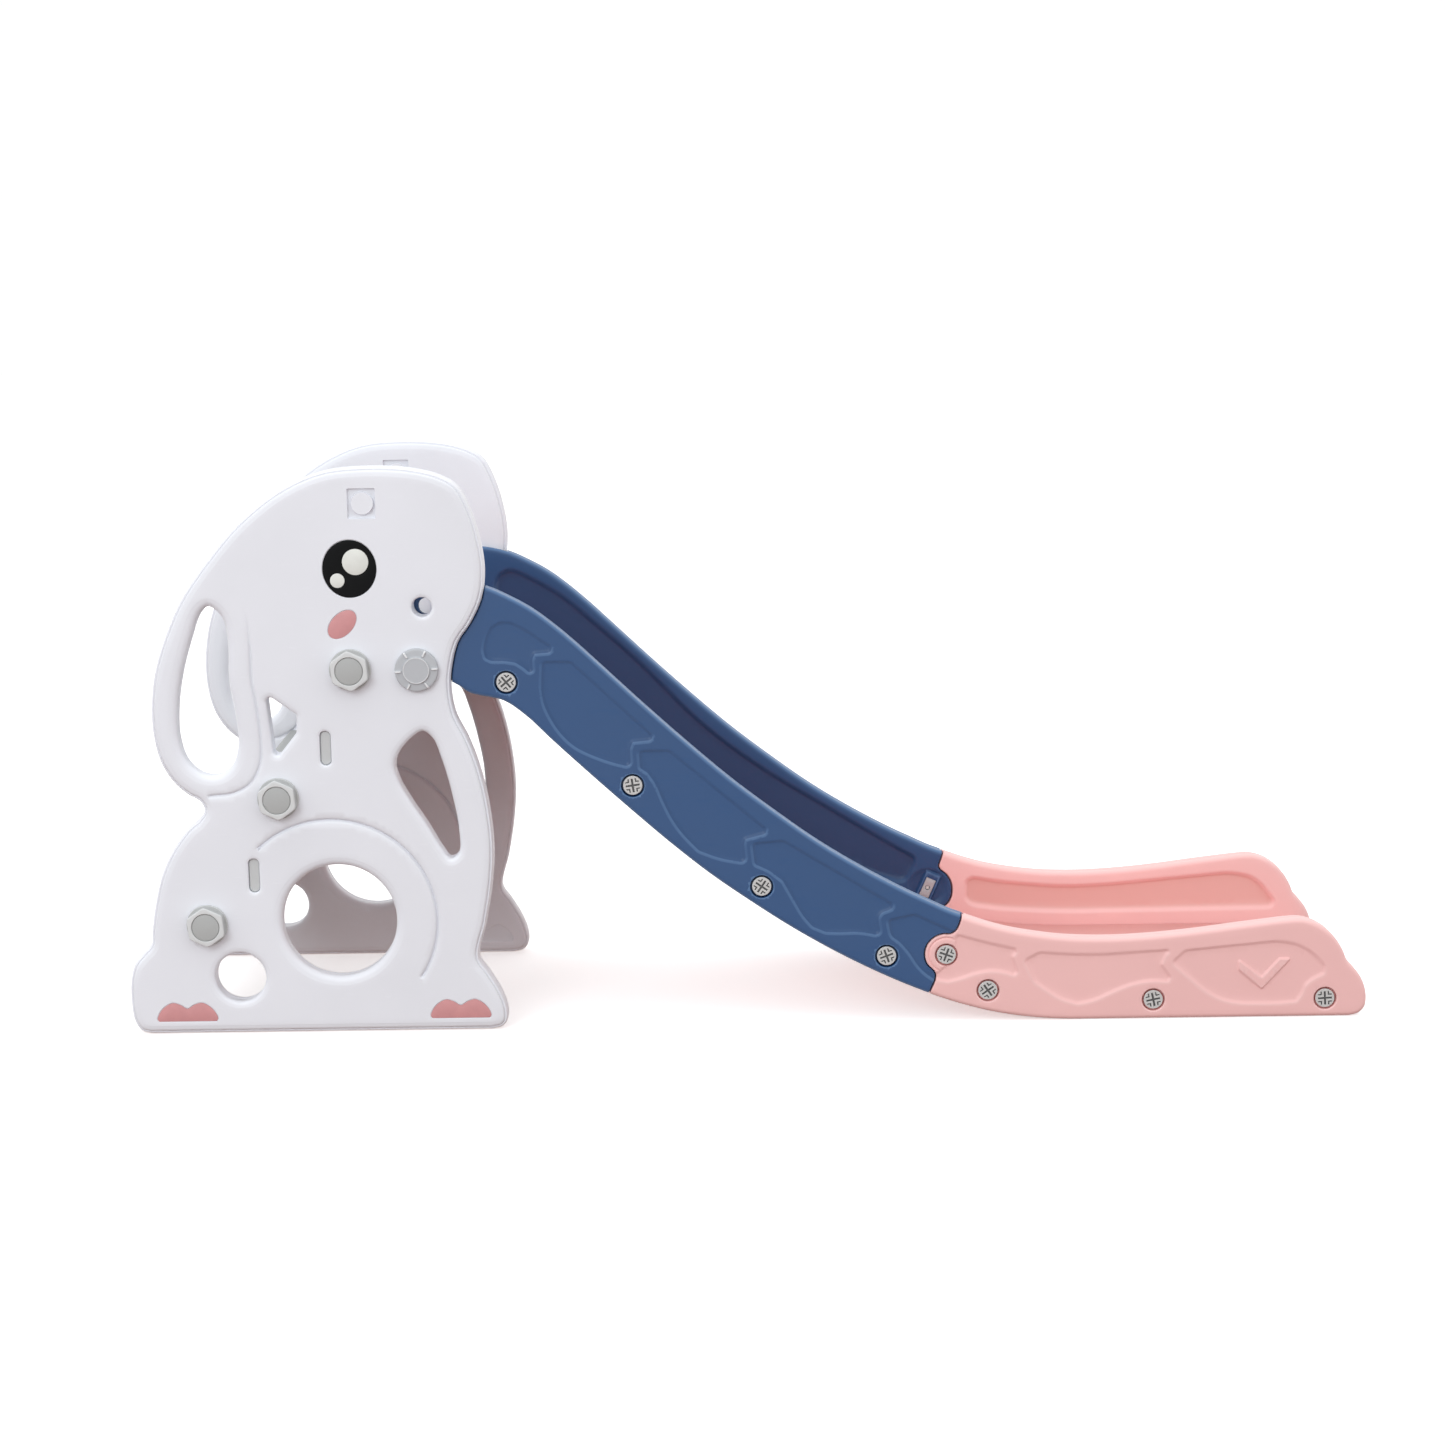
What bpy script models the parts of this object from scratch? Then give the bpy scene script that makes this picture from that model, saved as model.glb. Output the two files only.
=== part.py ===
"""Toddler slide with two animal-shaped side panels, three steps and a two-part chute.

World frame: +X runs along the slide from the steps to the foot of the chute, +Y is the
climber's left, +Z is up, and the origin is the middle of the footprint on the floor.
Side-view outlines are (x, z) in millimetres, with x measured from the rear toe of the
panels and z from the floor; lengths across the slide are in millimetres from the middle.
"""
import math

import bmesh
import bpy
from mathutils import Matrix, Vector

OBJECT = "toddler_slide"
MM = 0.001
GAP = 0.4

# Overall
X_MIDDLE = 788.0

# Side panels
PANEL_OUTER = 210.0
PANEL_THICK = 32.0
PANEL_INNER = PANEL_OUTER - PANEL_THICK
PANEL_EDGE = 8.0
PANEL_OUTLINE = [
    (24, 0), (11, 4), (3, 18), (0, 44), (1, 70), (7, 91), (20, 107), (29, 117), (31, 135),
    (37, 170), (47, 207), (64, 241), (84, 267), (98, 279), (104.5, 290), (100, 301),
    (84, 311), (67, 327), (53, 351), (45, 385), (44, 422), (50, 465), (64, 508), (87, 557),
    (122, 606), (166, 655), (218, 694), (268, 715), (325, 720.5), (380, 717), (414, 708),
    (435, 695), (450, 667), (461, 630), (466, 592), (462, 556), (448, 525), (431, 500),
    (423, 473), (420, 445), (425, 410), (440, 378), (453, 341), (463, 295), (468, 240),
    (465, 193), (456, 140), (446, 95), (458, 75), (472, 51), (480, 28), (480, 13),
    (474, 4), (460, 0),
]
EAR_HOLE = [
    (121, 549), (110, 540), (98, 510), (84, 463), (77, 420), (77, 382), (86, 353),
    (104, 337), (124, 335), (142, 347), (151, 375), (149, 410), (143, 455), (143, 505),
    (137, 536),
]
LEAF_HOLE = [
    (384, 388), (369, 380), (352, 360), (347, 345), (352, 324), (366, 298), (385, 268),
    (402, 238), (413, 224), (424, 231), (425, 262), (417, 310), (406, 352), (396, 378),
]
WEDGE_HOLE = [(188, 439, 5), (226, 411, 5), (225, 388, 5), (196, 352, 5)]
BIG_HOLE = (270, 145, 72.5)
SMALL_HOLE = (141.5, 73, 32)
PORT_HOLE = (387.5, 545, 12.5)
EAR_GROOVE = [
    (164, 552), (169, 530), (171.5, 495), (172, 455), (176, 425), (180, 385), (178, 350),
    (165, 325), (143, 312.5), (113, 309),
]
THIGH_ARC = (262, 144, 132.5, 133.0, -33.0)
GROOVE_HALF = 2.3
GROOVE_DEPTH = 2.4
SOCKET = (317, 675.5, 34, 37, 4.0)
SOCKET_DISC = (318, 675.5, 14)
TAB_SLOT = (14.0, 44.0)

# Printed decals, each in a shallow recess of the panel
DECAL_DEPTH = 1.0
DECAL_THICK = 0.6
EYE = (299.5, 594.5, 33.5, 36.0, 0.0)
CHEEK = (288.0, 525.0, 21.5, 13.3, 45.0)
TOE_CENTRES = (72.5, 421.0)
TOE_BASE = 17.0
TOE_HALF_WIDTH = 38.5
TOE_LOBE_TOP = 41.0

# Steps and their tie rods
ROD_RADIUS = 8.0
ROD_HALF_LENGTH = 219.0
STEP_RODS = {"lower": (103, 143), "middle": (199.5, 305.5), "platform": (296, 468)}
STEP_TOP = 17.0
STEP_BOTTOM = -18.0
TREAD_BACK = -44.5
TREAD_FRONT = 60.0
PLATFORM_FRONT = 56.0
RISER_THICK = 18.0
RISER_CENTRE = -35.0
SLOT_BELOW_ROD = -99.8
TAB_REACH = 207.0
CHUTE_ROD = (379, 467)

# Hand nuts
NUT_CORNER = 26.2
NUT_FLAT = 23.4
NUT_HEIGHT = 16.0
FLAT_NUT_RADIUS = 27.1
NUT_TURN = 35.0

# Chute rails
RAIL_OUTER = 198.0
RAIL_INNER = 170.0
RAIL_EDGE = 2.5
LAP_PLANE = 184.0
RAIL_PORT = (390.5, 542.5, 10.5)
FIELD_DEPTH = 2.4
INNER_FIELD_DEPTH = 4.0
UPPER_RAIL = [
    (358, 467), (361, 456), (368, 449), (379, 446), (400, 448), (418, 448.5), (430, 443),
    (441, 435), (453, 431), (468, 428), (481, 425), (493, 419), (517, 400), (542, 375),
    (591, 328.5), (641, 282.5), (691, 238), (741, 197), (791, 161), (841, 127.5),
    (892, 97), (943, 70), (994, 46.5), (1045, 27), (1100, 13),
]
UPPER_RAIL_TOP = [
    (1100, 125), (1045, 144), (1017, 157), (989, 170.5), (934, 200.5), (878, 235.5),
    (823, 275.5), (768, 318.5), (713, 366.5), (658, 417), (604, 468.5), (577, 494),
    (550, 517.5), (523, 538), (496, 553.5), (466, 567), (435, 574), (405, 575),
    (385, 569), (370, 553), (364, 530),
]
LOWER_RAIL_BOTTOM = [
    (985, 50.5), (1019, 36), (1045, 26.5), (1071, 18.5), (1096, 12), (1122, 7), (1147, 3.5),
    (1173, 1.2), (1200, 0),
]
LOWER_RAIL_END = [
    (1554, 0), (1566, 3), (1574, 11), (1576, 23), (1573.5, 39), (1567, 53), (1558, 64.5),
    (1550.5, 73), (1546, 84), (1538, 98), (1527, 110.5), (1514, 120), (1501, 125.5),
    (1487, 128), (1464, 126.5),
]
LOWER_RAIL_TOP = [
    (1464, 126.5), (1409, 120), (1353, 113), (1297, 108), (1241, 106), (1185, 108.5),
    (1129, 117), (1101, 124), (1062, 137.5), (1017, 157), (985, 172),
]
OUTER_SEAM = [
    (1078, 195), (1060, 141), (1057, 130), (1052, 119.5), (1045, 115), (1036, 115),
    (1026, 111.5), (1017, 103.5), (1012.5, 93), (1012.5, 83), (1016, 74.5), (1022, 69),
    (1026, 62.5), (1025.5, 55), (1022, 46.5), (1018, 37), (1006, -10),
]
INNER_SEAM = [
    (1085, 195), (1063, 141), (1058.5, 128), (1055.5, 118.5), (1058, 113), (1065, 107.5),
    (1071.5, 98), (1074, 87), (1073, 75), (1068, 65), (1059, 58), (1050, 54), (1045, 47),
    (1040, 34), (1026, -10),
]
UPPER_FIELDS = [
    [(463, 489), (465, 479), (472, 475.5), (488, 475.5), (502, 473), (513, 466), (522, 457),
     (521, 476), (525, 484), (554, 486), (533, 500), (515, 513), (497, 522), (484, 523),
     (473, 517), (466, 504)],
    [(536, 472), (534, 437), (537, 418), (544, 402), (556, 382), (573, 365), (592, 355),
     (617, 345), (642, 338.5), (641, 360), (645, 370), (675, 372.5), (606, 437), (570, 472)],
    [(655, 357), (656, 336), (665, 330), (675, 316), (684, 293), (694, 271), (708, 250),
     (728, 229), (754, 218.5), (785, 213), (783, 236), (785, 243), (816, 251), (755, 303),
     (692, 357)],
    [(796, 236), (799, 210), (817, 202), (834, 188), (848, 162), (859, 142), (871, 128),
     (887, 121), (905, 120), (930, 121), (955, 115.5), (952, 138), (957, 145), (976, 152),
     (905, 195), (834, 239)],
    [(967, 134), (971, 114), (982, 106), (994, 92), (1006, 72), (1022, 58), (1040, 50),
     (1052, 80), (1060, 119), (1046, 119), (1000, 141)],
]
LOWER_FIELDS = [
    [(1052, 114), (1052, 84), (1020, 57), (1042, 53), (1058, 56.5), (1076, 63), (1096, 67),
     (1115, 64.5), (1132, 58), (1127, 75), (1123, 84), (1132, 93), (1094, 102)],
    [(1140, 79), (1153, 51.5), (1167, 41), (1186, 28), (1208, 21.5), (1230, 26), (1250, 36),
     (1274, 46), (1299, 51), (1329, 49), (1313, 71), (1319, 84), (1325, 90), (1280, 87),
     (1235, 85), (1196, 86), (1159, 89)],
    [(1328, 74), (1350, 54), (1371, 36), (1392, 24), (1414, 19.5), (1466, 19), (1486, 21),
     (1492, 29), (1497, 42), (1506, 50), (1521, 57), (1522, 66), (1509, 82), (1490, 94),
     (1464, 100), (1426, 97), (1380, 92.5), (1344, 89)],
]
CHECK_MARK = [(1412, 76), (1442, 53), (1464, 77), (1479, 77), (1442, 37), (1412, 63)]
UPPER_INNER_FIELD = [
    (447, 520), (456, 537), (470, 542), (484, 537), (537, 508), (591, 460), (645, 412),
    (726, 324), (808, 261), (919, 193), (1002, 142), (1022, 131), (1021, 120), (1006, 96),
    (960, 110), (880, 152), (800, 202), (726, 260), (645, 331), (570, 400), (500, 458),
    (452, 492),
]
LOWER_INNER_FIELD = [
    (1094, 96), (1103, 101), (1141, 94), (1225, 86), (1290, 88), (1350, 93), (1420, 99),
    (1462, 103), (1490, 97), (1506, 85), (1523, 62), (1519, 54), (1420, 54), (1320, 53),
    (1225, 52), (1141, 57), (1103, 63), (1094, 70),
]
UPPER_SCREWS = [(489, 447), (645, 313), (806, 180), (964, 87)]
LOWER_SCREWS = [(1093, 40), (1304, 25), (1523, 24)]
JOINT_SCREW = (1040, 87.5)
SCREW_TURNS = {489: 40, 645: 8, 806: 55, 964: 20, 1040: 70, 1093: 35, 1304: 12, 1523: 3}
HEAD_RADIUS = 12.8
HEAD_BORE = 14.3
HEAD_SINK = 1.0
HEAD_THICK = 4.0
SHANK_RADIUS = 3.0
SHANK_LENGTH = 36.0
JOINT_SHANK_LENGTH = 25.5

# Square nut plate of the rail joint
PLATE_TURN = -24.0
PLATE_LENGTH = 27.0
PLATE_WIDTH = 14.0
PLATE_THICK = 2.4
PLATE_POCKET = 3.4

# Chute beds
BED_HALF_THICK = 8.0
BED_HALF_WIDTH = RAIL_INNER - GAP
UPPER_BED_LINE = [
    (430, 466.5), (489, 447), (518, 427), (560, 391), (645, 313), (725, 245), (806, 180),
    (885, 130), (964, 87), (1002, 70), (1037, 56.5),
]
LOWER_BED_LINE = [
    (1038, 56), (1065, 47), (1093, 39), (1125, 32), (1165, 27), (1215, 24.5), (1300, 24),
    (1552, 24),
]


def srgb(red, green, blue):
    """Linear colour of an sRGB value from 0 to 255."""
    def linear(value):
        value /= 255.0
        if value <= 0.04045:
            return value / 12.92
        return ((value + 0.055) / 1.055) ** 2.4
    return (linear(red), linear(green), linear(blue), 1.0)


COLOURS = {
    "white_plastic": (srgb(232, 232, 236), 0.42, 0.0),
    "blue_plastic": (srgb(67, 93, 132), 0.40, 0.0),
    "pink_plastic": (srgb(238, 184, 180), 0.40, 0.0),
    "grey_plastic": (srgb(172, 172, 170), 0.48, 0.0),
    "screw_plastic": (srgb(190, 190, 188), 0.45, 0.0),
    "nut_plate_metal": (srgb(172, 166, 158), 0.35, 1.0),
    "rod_metal": (srgb(176, 178, 180), 0.30, 1.0),
    "eye_print": (srgb(16, 16, 18), 0.30, 0.0),
    "rosy_print": (srgb(211, 146, 148), 0.45, 0.0),
}


def clear_scene():
    """Remove the objects of the scene."""
    for obj in list(bpy.data.objects):
        bpy.data.objects.remove(obj, do_unlink=True)


def make_collection(name):
    """Collection of the given name, linked into the scene."""
    collection = bpy.data.collections.new(name)
    bpy.context.scene.collection.children.link(collection)
    return collection


def material(name):
    """Principled material of one of the listed colours."""
    found = bpy.data.materials.get(name)
    if found:
        return found
    colour, roughness, metallic = COLOURS[name]
    made = bpy.data.materials.new(name)
    made.use_nodes = True
    shader = made.node_tree.nodes["Principled BSDF"]
    shader.inputs["Base Color"].default_value = colour
    shader.inputs["Roughness"].default_value = roughness
    shader.inputs["Metallic"].default_value = metallic
    made.diffuse_color = colour
    return made


def smooth(points, spacing, closed=True):
    """Centripetal spline through the points, with a vertex about every spacing."""
    knots = [Vector(point) for point in points]
    count = len(knots)
    line = []
    for index in range(count if closed else count - 1):
        start = knots[index]
        end = knots[(index + 1) % count]
        if closed or index > 0:
            before = knots[index - 1]
        else:
            before = start * 2 - end
        if closed or index < count - 2:
            after = knots[(index + 2) % count]
        else:
            after = end * 2 - start
        knot_in = (start - before).length ** 0.5
        knot = (end - start).length ** 0.5
        knot_out = (after - end).length ** 0.5
        leave = end - start + knot * (
            (start - before) / knot_in - (end - before) / (knot_in + knot))
        arrive = end - start + knot * (
            (after - end) / knot_out - (after - start) / (knot + knot_out))
        pieces = max(1, round((end - start).length / spacing))
        for piece in range(pieces):
            t = piece / pieces
            line.append(
                start * (2 * t ** 3 - 3 * t ** 2 + 1) + leave * (t ** 3 - 2 * t ** 2 + t)
                + end * (3 * t ** 2 - 2 * t ** 3) + arrive * (t ** 3 - t ** 2))
    if not closed:
        line.append(knots[-1])
    return [tuple(point) for point in line]


def circle(x, z, radius, count, start=0.0):
    """Circle in the side view."""
    turns = [start + math.tau * index / count for index in range(count)]
    return [(x + radius * math.cos(turn), z + radius * math.sin(turn)) for turn in turns]


def ellipse(x, z, half_long, half_short, tilt, count):
    """Ellipse in the side view, its first half-axis turned by tilt degrees."""
    cos, sin = math.cos(math.radians(tilt)), math.sin(math.radians(tilt))
    loop = []
    for index in range(count):
        turn = math.tau * index / count
        along = half_long * math.cos(turn)
        across = half_short * math.sin(turn)
        loop.append((x + along * cos - across * sin, z + along * sin + across * cos))
    return loop


def arc(x, z, radius, start, end, count):
    """Points on an arc from start to end, in degrees."""
    points = []
    for index in range(count):
        turn = math.radians(start + (end - start) * index / (count - 1))
        points.append((x + radius * math.cos(turn), z + radius * math.sin(turn)))
    return points


def rounded_polygon(corners, steps):
    """Polygon whose corners (x, z, radius) are rounded with arcs of the given steps."""
    loop = []
    for index, (x, z, radius) in enumerate(corners):
        corner = Vector((x, z))
        before = (Vector(corners[index - 1][:2]) - corner).normalized()
        after = (Vector(corners[(index + 1) % len(corners)][:2]) - corner).normalized()
        half = before.angle(after) / 2
        middle = corner + (before + after).normalized() * radius / math.sin(half)
        first = corner + before * radius / math.tan(half) - middle
        last = corner + after * radius / math.tan(half) - middle
        for step in range(steps + 1):
            mix = step / steps
            spoke = (first * (1 - mix) + last * mix).normalized() * radius
            loop.append(tuple(middle + spoke))
    return loop


def rectangle(x, z, width, height, radius=0.0, steps=2, tilt=0.0):
    """Rectangle about (x, z), with optional round corners and tilt in degrees."""
    w, h = width / 2, height / 2
    corners = [(-w, -h), (w, -h), (w, h), (-w, h)]
    if radius:
        corners = rounded_polygon([(a, b, radius) for a, b in corners], steps)
    cos, sin = math.cos(math.radians(tilt)), math.sin(math.radians(tilt))
    return [(x + a * cos - b * sin, z + a * sin + b * cos) for a, b in corners]


def stroke(line, half_width, end_steps=3):
    """Outline of a line drawn with a round pen."""
    points = [Vector(point) for point in line]
    sides = ([], [])
    for index, point in enumerate(points):
        ahead = points[min(index + 1, len(points) - 1)] - points[max(index - 1, 0)]
        normal = Vector((-ahead.y, ahead.x)).normalized() * half_width
        sides[0].append(point + normal)
        sides[1].append(point - normal)
    loop = list(sides[0])
    loop += round_end(points[-1], sides[0][-1], end_steps)
    loop += reversed(sides[1])
    loop += round_end(points[0], sides[1][0], end_steps)
    return [tuple(point) for point in loop]


def round_end(centre, first, steps):
    """Inner points of a half circle that starts at first and turns clockwise."""
    spoke = first - centre
    return [centre + Matrix.Rotation(-math.pi * step / steps, 2) @ spoke
            for step in range(1, steps)]


def offset_line(line, distance):
    """Line moved sideways, to its left for a positive distance."""
    points = [Vector(point) for point in line]
    moved = []
    for index, point in enumerate(points):
        ahead = points[min(index + 1, len(points) - 1)] - points[max(index - 1, 0)]
        moved.append(tuple(point + Vector((-ahead.y, ahead.x)).normalized() * distance))
    return moved


def outline_curve(name, loops, depth, edge, edge_steps):
    """Filled 2D curve of the loops, extruded to depth with rounded edges."""
    data = bpy.data.curves.new(name, "CURVE")
    data.dimensions = "2D"
    data.fill_mode = "BOTH"
    data.extrude = (depth / 2 - edge) * MM
    data.bevel_depth = edge * MM
    data.bevel_resolution = edge_steps - 1
    data.offset = -edge * MM
    for loop in loops:
        spline = data.splines.new("POLY")
        spline.points.add(len(loop) - 1)
        for point, (x, z) in zip(spline.points, loop):
            point.co = ((x - X_MIDDLE) * MM, z * MM, 0.0, 1.0)
        spline.use_cyclic_u = True
    return data


def place(name, mesh, collection, surface=None):
    """Object for a mesh, in a collection and with a material."""
    obj = bpy.data.objects.new(name, mesh)
    collection.objects.link(obj)
    if surface:
        mesh.materials.clear()
        mesh.materials.append(material(surface))
    return obj


def prism(name, loops, y_from, y_to, collection, surface=None, edge=0.0, edge_steps=1):
    """Side-view loops extruded between two distances across the slide."""
    curve = outline_curve(name, loops, abs(y_to - y_from), edge, edge_steps)
    flat = bpy.data.objects.new(name, curve)
    collection.objects.link(flat)
    graph = bpy.context.evaluated_depsgraph_get()
    mesh = bpy.data.meshes.new_from_object(flat.evaluated_get(graph))
    bpy.data.objects.remove(flat, do_unlink=True)
    bpy.data.curves.remove(curve)
    mesh.name = name
    weld(mesh)
    middle = (y_from + y_to) / 2 * MM
    mesh.transform(Matrix.Translation((0, middle, 0)) @ Matrix.Rotation(math.pi / 2, 4, "X"))
    return place(name, mesh, collection, surface)


def weld(mesh):
    """Join the caps to the sides and point the faces out."""
    shape = bmesh.new()
    shape.from_mesh(mesh)
    bmesh.ops.remove_doubles(shape, verts=shape.verts, dist=1e-6)
    bmesh.ops.recalc_face_normals(shape, faces=shape.faces)
    shape.to_mesh(mesh)
    shape.free()


def turned(name, profile, steps, collection, surface=None):
    """Solid turned about Z from (radius, height) points, outer side top to bottom."""
    mesh = bpy.data.meshes.new(name)
    points = [(radius * MM, 0.0, height * MM) for radius, height in profile]
    mesh.from_pydata(points, [(i, i + 1) for i in range(len(points) - 1)], [])
    obj = place(name, mesh, collection, surface)
    screw = obj.modifiers.new("turn", "SCREW")
    screw.steps = steps
    screw.render_steps = steps
    screw.use_merge_vertices = True
    screw.merge_threshold = 1e-5
    return obj


def face_outward(obj, side, x, z, y, turn=0.0):
    """Stand a turned piece at (x, y, z) with its top pointing away from the middle."""
    obj.location = ((x - X_MIDDLE) * MM, side * y * MM, z * MM)
    tip = Matrix.Rotation(-side * math.pi / 2, 4, "X")
    obj.rotation_euler = (tip @ Matrix.Rotation(math.radians(turn), 4, "Z")).to_euler()
    return obj


def boolean(obj, other, operation="DIFFERENCE"):
    """Exact Boolean of an object with a helper shape that isn't part of the model."""
    other.hide_render = True
    other.display_type = "WIRE"
    cut = obj.modifiers.new(other.name, "BOOLEAN")
    cut.operation = operation
    cut.solver = "EXACT"
    cut.object = other


def cutter(obj, name, loops, y_from, y_to, helpers):
    """Cut side-view loops out of an object between two distances from the middle."""
    boolean(obj, prism("cut_" + name, loops, y_from, y_to, helpers))


def shade(obj, angle=35.0):
    """Smooth shading with sharp edges over the angle."""
    obj.data.shade_smooth()
    obj.data.set_sharp_from_angle(angle=math.radians(angle))
    return obj


def toe_outline(centre):
    """Two rounded toes on a flat base."""
    base = [(-TOE_HALF_WIDTH + 2, 0), (-TOE_HALF_WIDTH, 3), (-35, 12), (-28, 19.5),
            (-18.5, TOE_LOBE_TOP - TOE_BASE), (-9, 21.5), (0, 16.5), (9, 21.5),
            (18.5, TOE_LOBE_TOP - TOE_BASE), (28, 19.5), (35, 12), (TOE_HALF_WIDTH, 3),
            (TOE_HALF_WIDTH - 2, 0)]
    return [(centre + x, TOE_BASE + z) for x, z in smooth(base, 9, closed=False)]


def decal_shapes():
    """Outline of each printed decal on a panel's outer face."""
    shapes = {
        "eye": (ellipse(*EYE, 26), "eye_print"),
        "cheek": (ellipse(*CHEEK, 20), "rosy_print"),
    }
    for name, centre in zip(("rear_toes", "front_toes"), TOE_CENTRES):
        shapes[name] = (toe_outline(centre), "rosy_print")
    return shapes


def grow(loop, distance):
    """Loop moved outward from its middle along each vertex normal."""
    points = [Vector(point) for point in loop]
    area = sum(a.x * b.y - b.x * a.y for a, b in zip(points, points[1:] + points[:1]))
    sign = 1.0 if area > 0 else -1.0
    grown = []
    for index, point in enumerate(points):
        ahead = points[(index + 1) % len(points)] - points[index - 1]
        normal = Vector((ahead.y, -ahead.x)).normalized() * sign
        grown.append(tuple(point + normal * distance))
    return grown


def panel_loops():
    """Outline and through holes of a side panel."""
    return [
        smooth(PANEL_OUTLINE, 34, closed=False),
        smooth(EAR_HOLE, 30),
        smooth(LEAF_HOLE, 30),
        rounded_polygon(WEDGE_HOLE, 2),
        circle(*BIG_HOLE, 30),
        circle(*SMALL_HOLE, 20),
        circle(*PORT_HOLE, 14),
    ]


def side_panel(side, name, parts, helpers):
    """Animal-shaped side panel with its grooves, recesses, slots and rod holes."""
    outer, inner = side * PANEL_OUTER, side * PANEL_INNER
    panel = prism(name, panel_loops(), inner, outer, parts, "white_plastic", PANEL_EDGE, 1)
    grooves = {
        "ear": stroke(smooth(EAR_GROOVE, 30, closed=False), GROOVE_HALF),
        "thigh": stroke(arc(*THIGH_ARC, 16), GROOVE_HALF),
    }
    x, z, width, height, depth = SOCKET
    grooves["socket"] = rectangle(x, z, width, height)
    disc = circle(*SOCKET_DISC, 16)
    for label, loop in grooves.items():
        sunk = depth if label == "socket" else GROOVE_DEPTH
        loops = [loop, disc] if label == "socket" else [loop]
        cutter(panel, f"{name}_{label}_out", loops, outer - side * sunk, outer + side, helpers)
        cutter(panel, f"{name}_{label}_in", loops, inner - side, inner + side * sunk, helpers)
    for label, (loop, _) in decal_shapes().items():
        loops = [grow(loop, GAP)]
        floor = outer - side * DECAL_DEPTH
        cutter(panel, f"{name}_{label}", loops, floor, outer + side, helpers)
    for label in ("middle", "platform"):
        rod_x, rod_z = STEP_RODS[label]
        slot = rectangle(rod_x + RISER_CENTRE, rod_z + SLOT_BELOW_ROD, *TAB_SLOT, 4.0)
        cutter(panel, f"{name}_{label}_slot", [slot], inner - side, outer + side, helpers)
    for label, centre in list(STEP_RODS.items()) + [("chute", CHUTE_ROD)]:
        hole = circle(*centre, ROD_RADIUS + GAP, 16)
        cutter(panel, f"{name}_{label}_rod", [hole], inner - side, outer + side, helpers)
    return shade(panel)


def decals(side, label, parts):
    """Printed decals of one panel, each lying in its recess."""
    floor = PANEL_OUTER - DECAL_DEPTH + GAP / 2
    for name, (loop, surface) in decal_shapes().items():
        y_from, y_to = side * floor, side * (floor + DECAL_THICK)
        shade(prism(f"{label}_{name}_decal", [loop], y_from, y_to, parts, surface))


def tread_outline(rod_x, rod_z, back, front):
    """Side view of a tread with three anti-slip grooves along its top."""
    top, bottom = rod_z + STEP_TOP, rod_z + STEP_BOTTOM
    left, right = rod_x + back, rod_x + front
    loop = [(left, bottom), (right - 6, bottom), (right, bottom + 8), (right, top - 6),
            (right - 2, top - 2), (right - 6, top)]
    for offset in (26, 6, -14):
        middle = rod_x + offset
        loop += [(middle + 4, top), (middle + 3, top - 2), (middle - 3, top - 2),
                 (middle - 4, top)]
    return loop + [(left + 6, top), (left + 2, top - 2), (left, top - 6)]


def step(label, parts, helpers):
    """Tread, with a riser whose tabs enter the panels on all but the lowest."""
    rod_x, rod_z = STEP_RODS[label]
    half = PANEL_INNER - GAP
    front = PLATFORM_FRONT if label == "platform" else TREAD_FRONT
    loop = tread_outline(rod_x, rod_z, TREAD_BACK, front)
    if label != "lower":
        low = rod_z + SLOT_BELOW_ROD - TAB_SLOT[1] / 2 - 3
        left = rod_x + TREAD_BACK
        loop[0:1] = [(left, low), (left + RISER_THICK, low),
                     (left + RISER_THICK, rod_z + STEP_BOTTOM)]
    name = "platform" if label == "platform" else f"{label}_step"
    hole = circle(rod_x, rod_z, ROD_RADIUS + GAP, 16)
    tread = prism(name, [loop, hole], -half, half, parts, "grey_plastic")
    if label != "lower":
        width, height = TAB_SLOT
        bar = rectangle(rod_x + RISER_CENTRE, rod_z + SLOT_BELOW_ROD,
                        width - 2 * GAP, height - 2 * GAP, 4.0 - GAP)
        tabs = prism(f"join_{name}_tabs", [bar], -TAB_REACH, TAB_REACH, helpers)
        boolean(tread, tabs, "UNION")
    return shade(tread)


def rod(name, centre, parts):
    """Round metal tie rod across the slide."""
    shape = bmesh.new()
    bmesh.ops.create_cone(shape, cap_ends=True, segments=16, radius1=ROD_RADIUS * MM,
                          radius2=ROD_RADIUS * MM, depth=2 * ROD_HALF_LENGTH * MM)
    mesh = bpy.data.meshes.new(name)
    shape.to_mesh(mesh)
    shape.free()
    obj = place(name, mesh, parts, "rod_metal")
    obj.location = ((centre[0] - X_MIDDLE) * MM, 0.0, centre[1] * MM)
    obj.rotation_euler = (math.pi / 2, 0.0, 0.0)
    return shade(obj)


def lobed_ring(corner, flat, height, count):
    """Ring of points about Z whose radius swings between flat and corner six times."""
    ring = []
    for index in range(count):
        turn = math.tau * index / count
        radius = flat + (corner - flat) * (0.5 + 0.5 * math.cos(6 * turn))
        ring.append((radius * math.cos(turn), radius * math.sin(turn), height))
    return ring


def loft(name, rings, first, last):
    """Closed mesh through rings of equal count, ending in a point at each end."""
    shape = bmesh.new()
    rows = [[shape.verts.new(Vector(point) * MM) for point in ring] for ring in rings]
    count = len(rows[0])
    for lower, upper in zip(rows, rows[1:]):
        for index in range(count):
            after = (index + 1) % count
            shape.faces.new((lower[index], lower[after], upper[after], upper[index]))
    for height, row in ((first, rows[0]), (last, rows[-1])):
        tip = shape.verts.new((0.0, 0.0, height * MM))
        for index in range(count):
            shape.faces.new((tip, row[index], row[(index + 1) % count]))
    bmesh.ops.recalc_face_normals(shape, faces=shape.faces)
    mesh = bpy.data.meshes.new(name)
    shape.to_mesh(mesh)
    shape.free()
    return mesh


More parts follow.
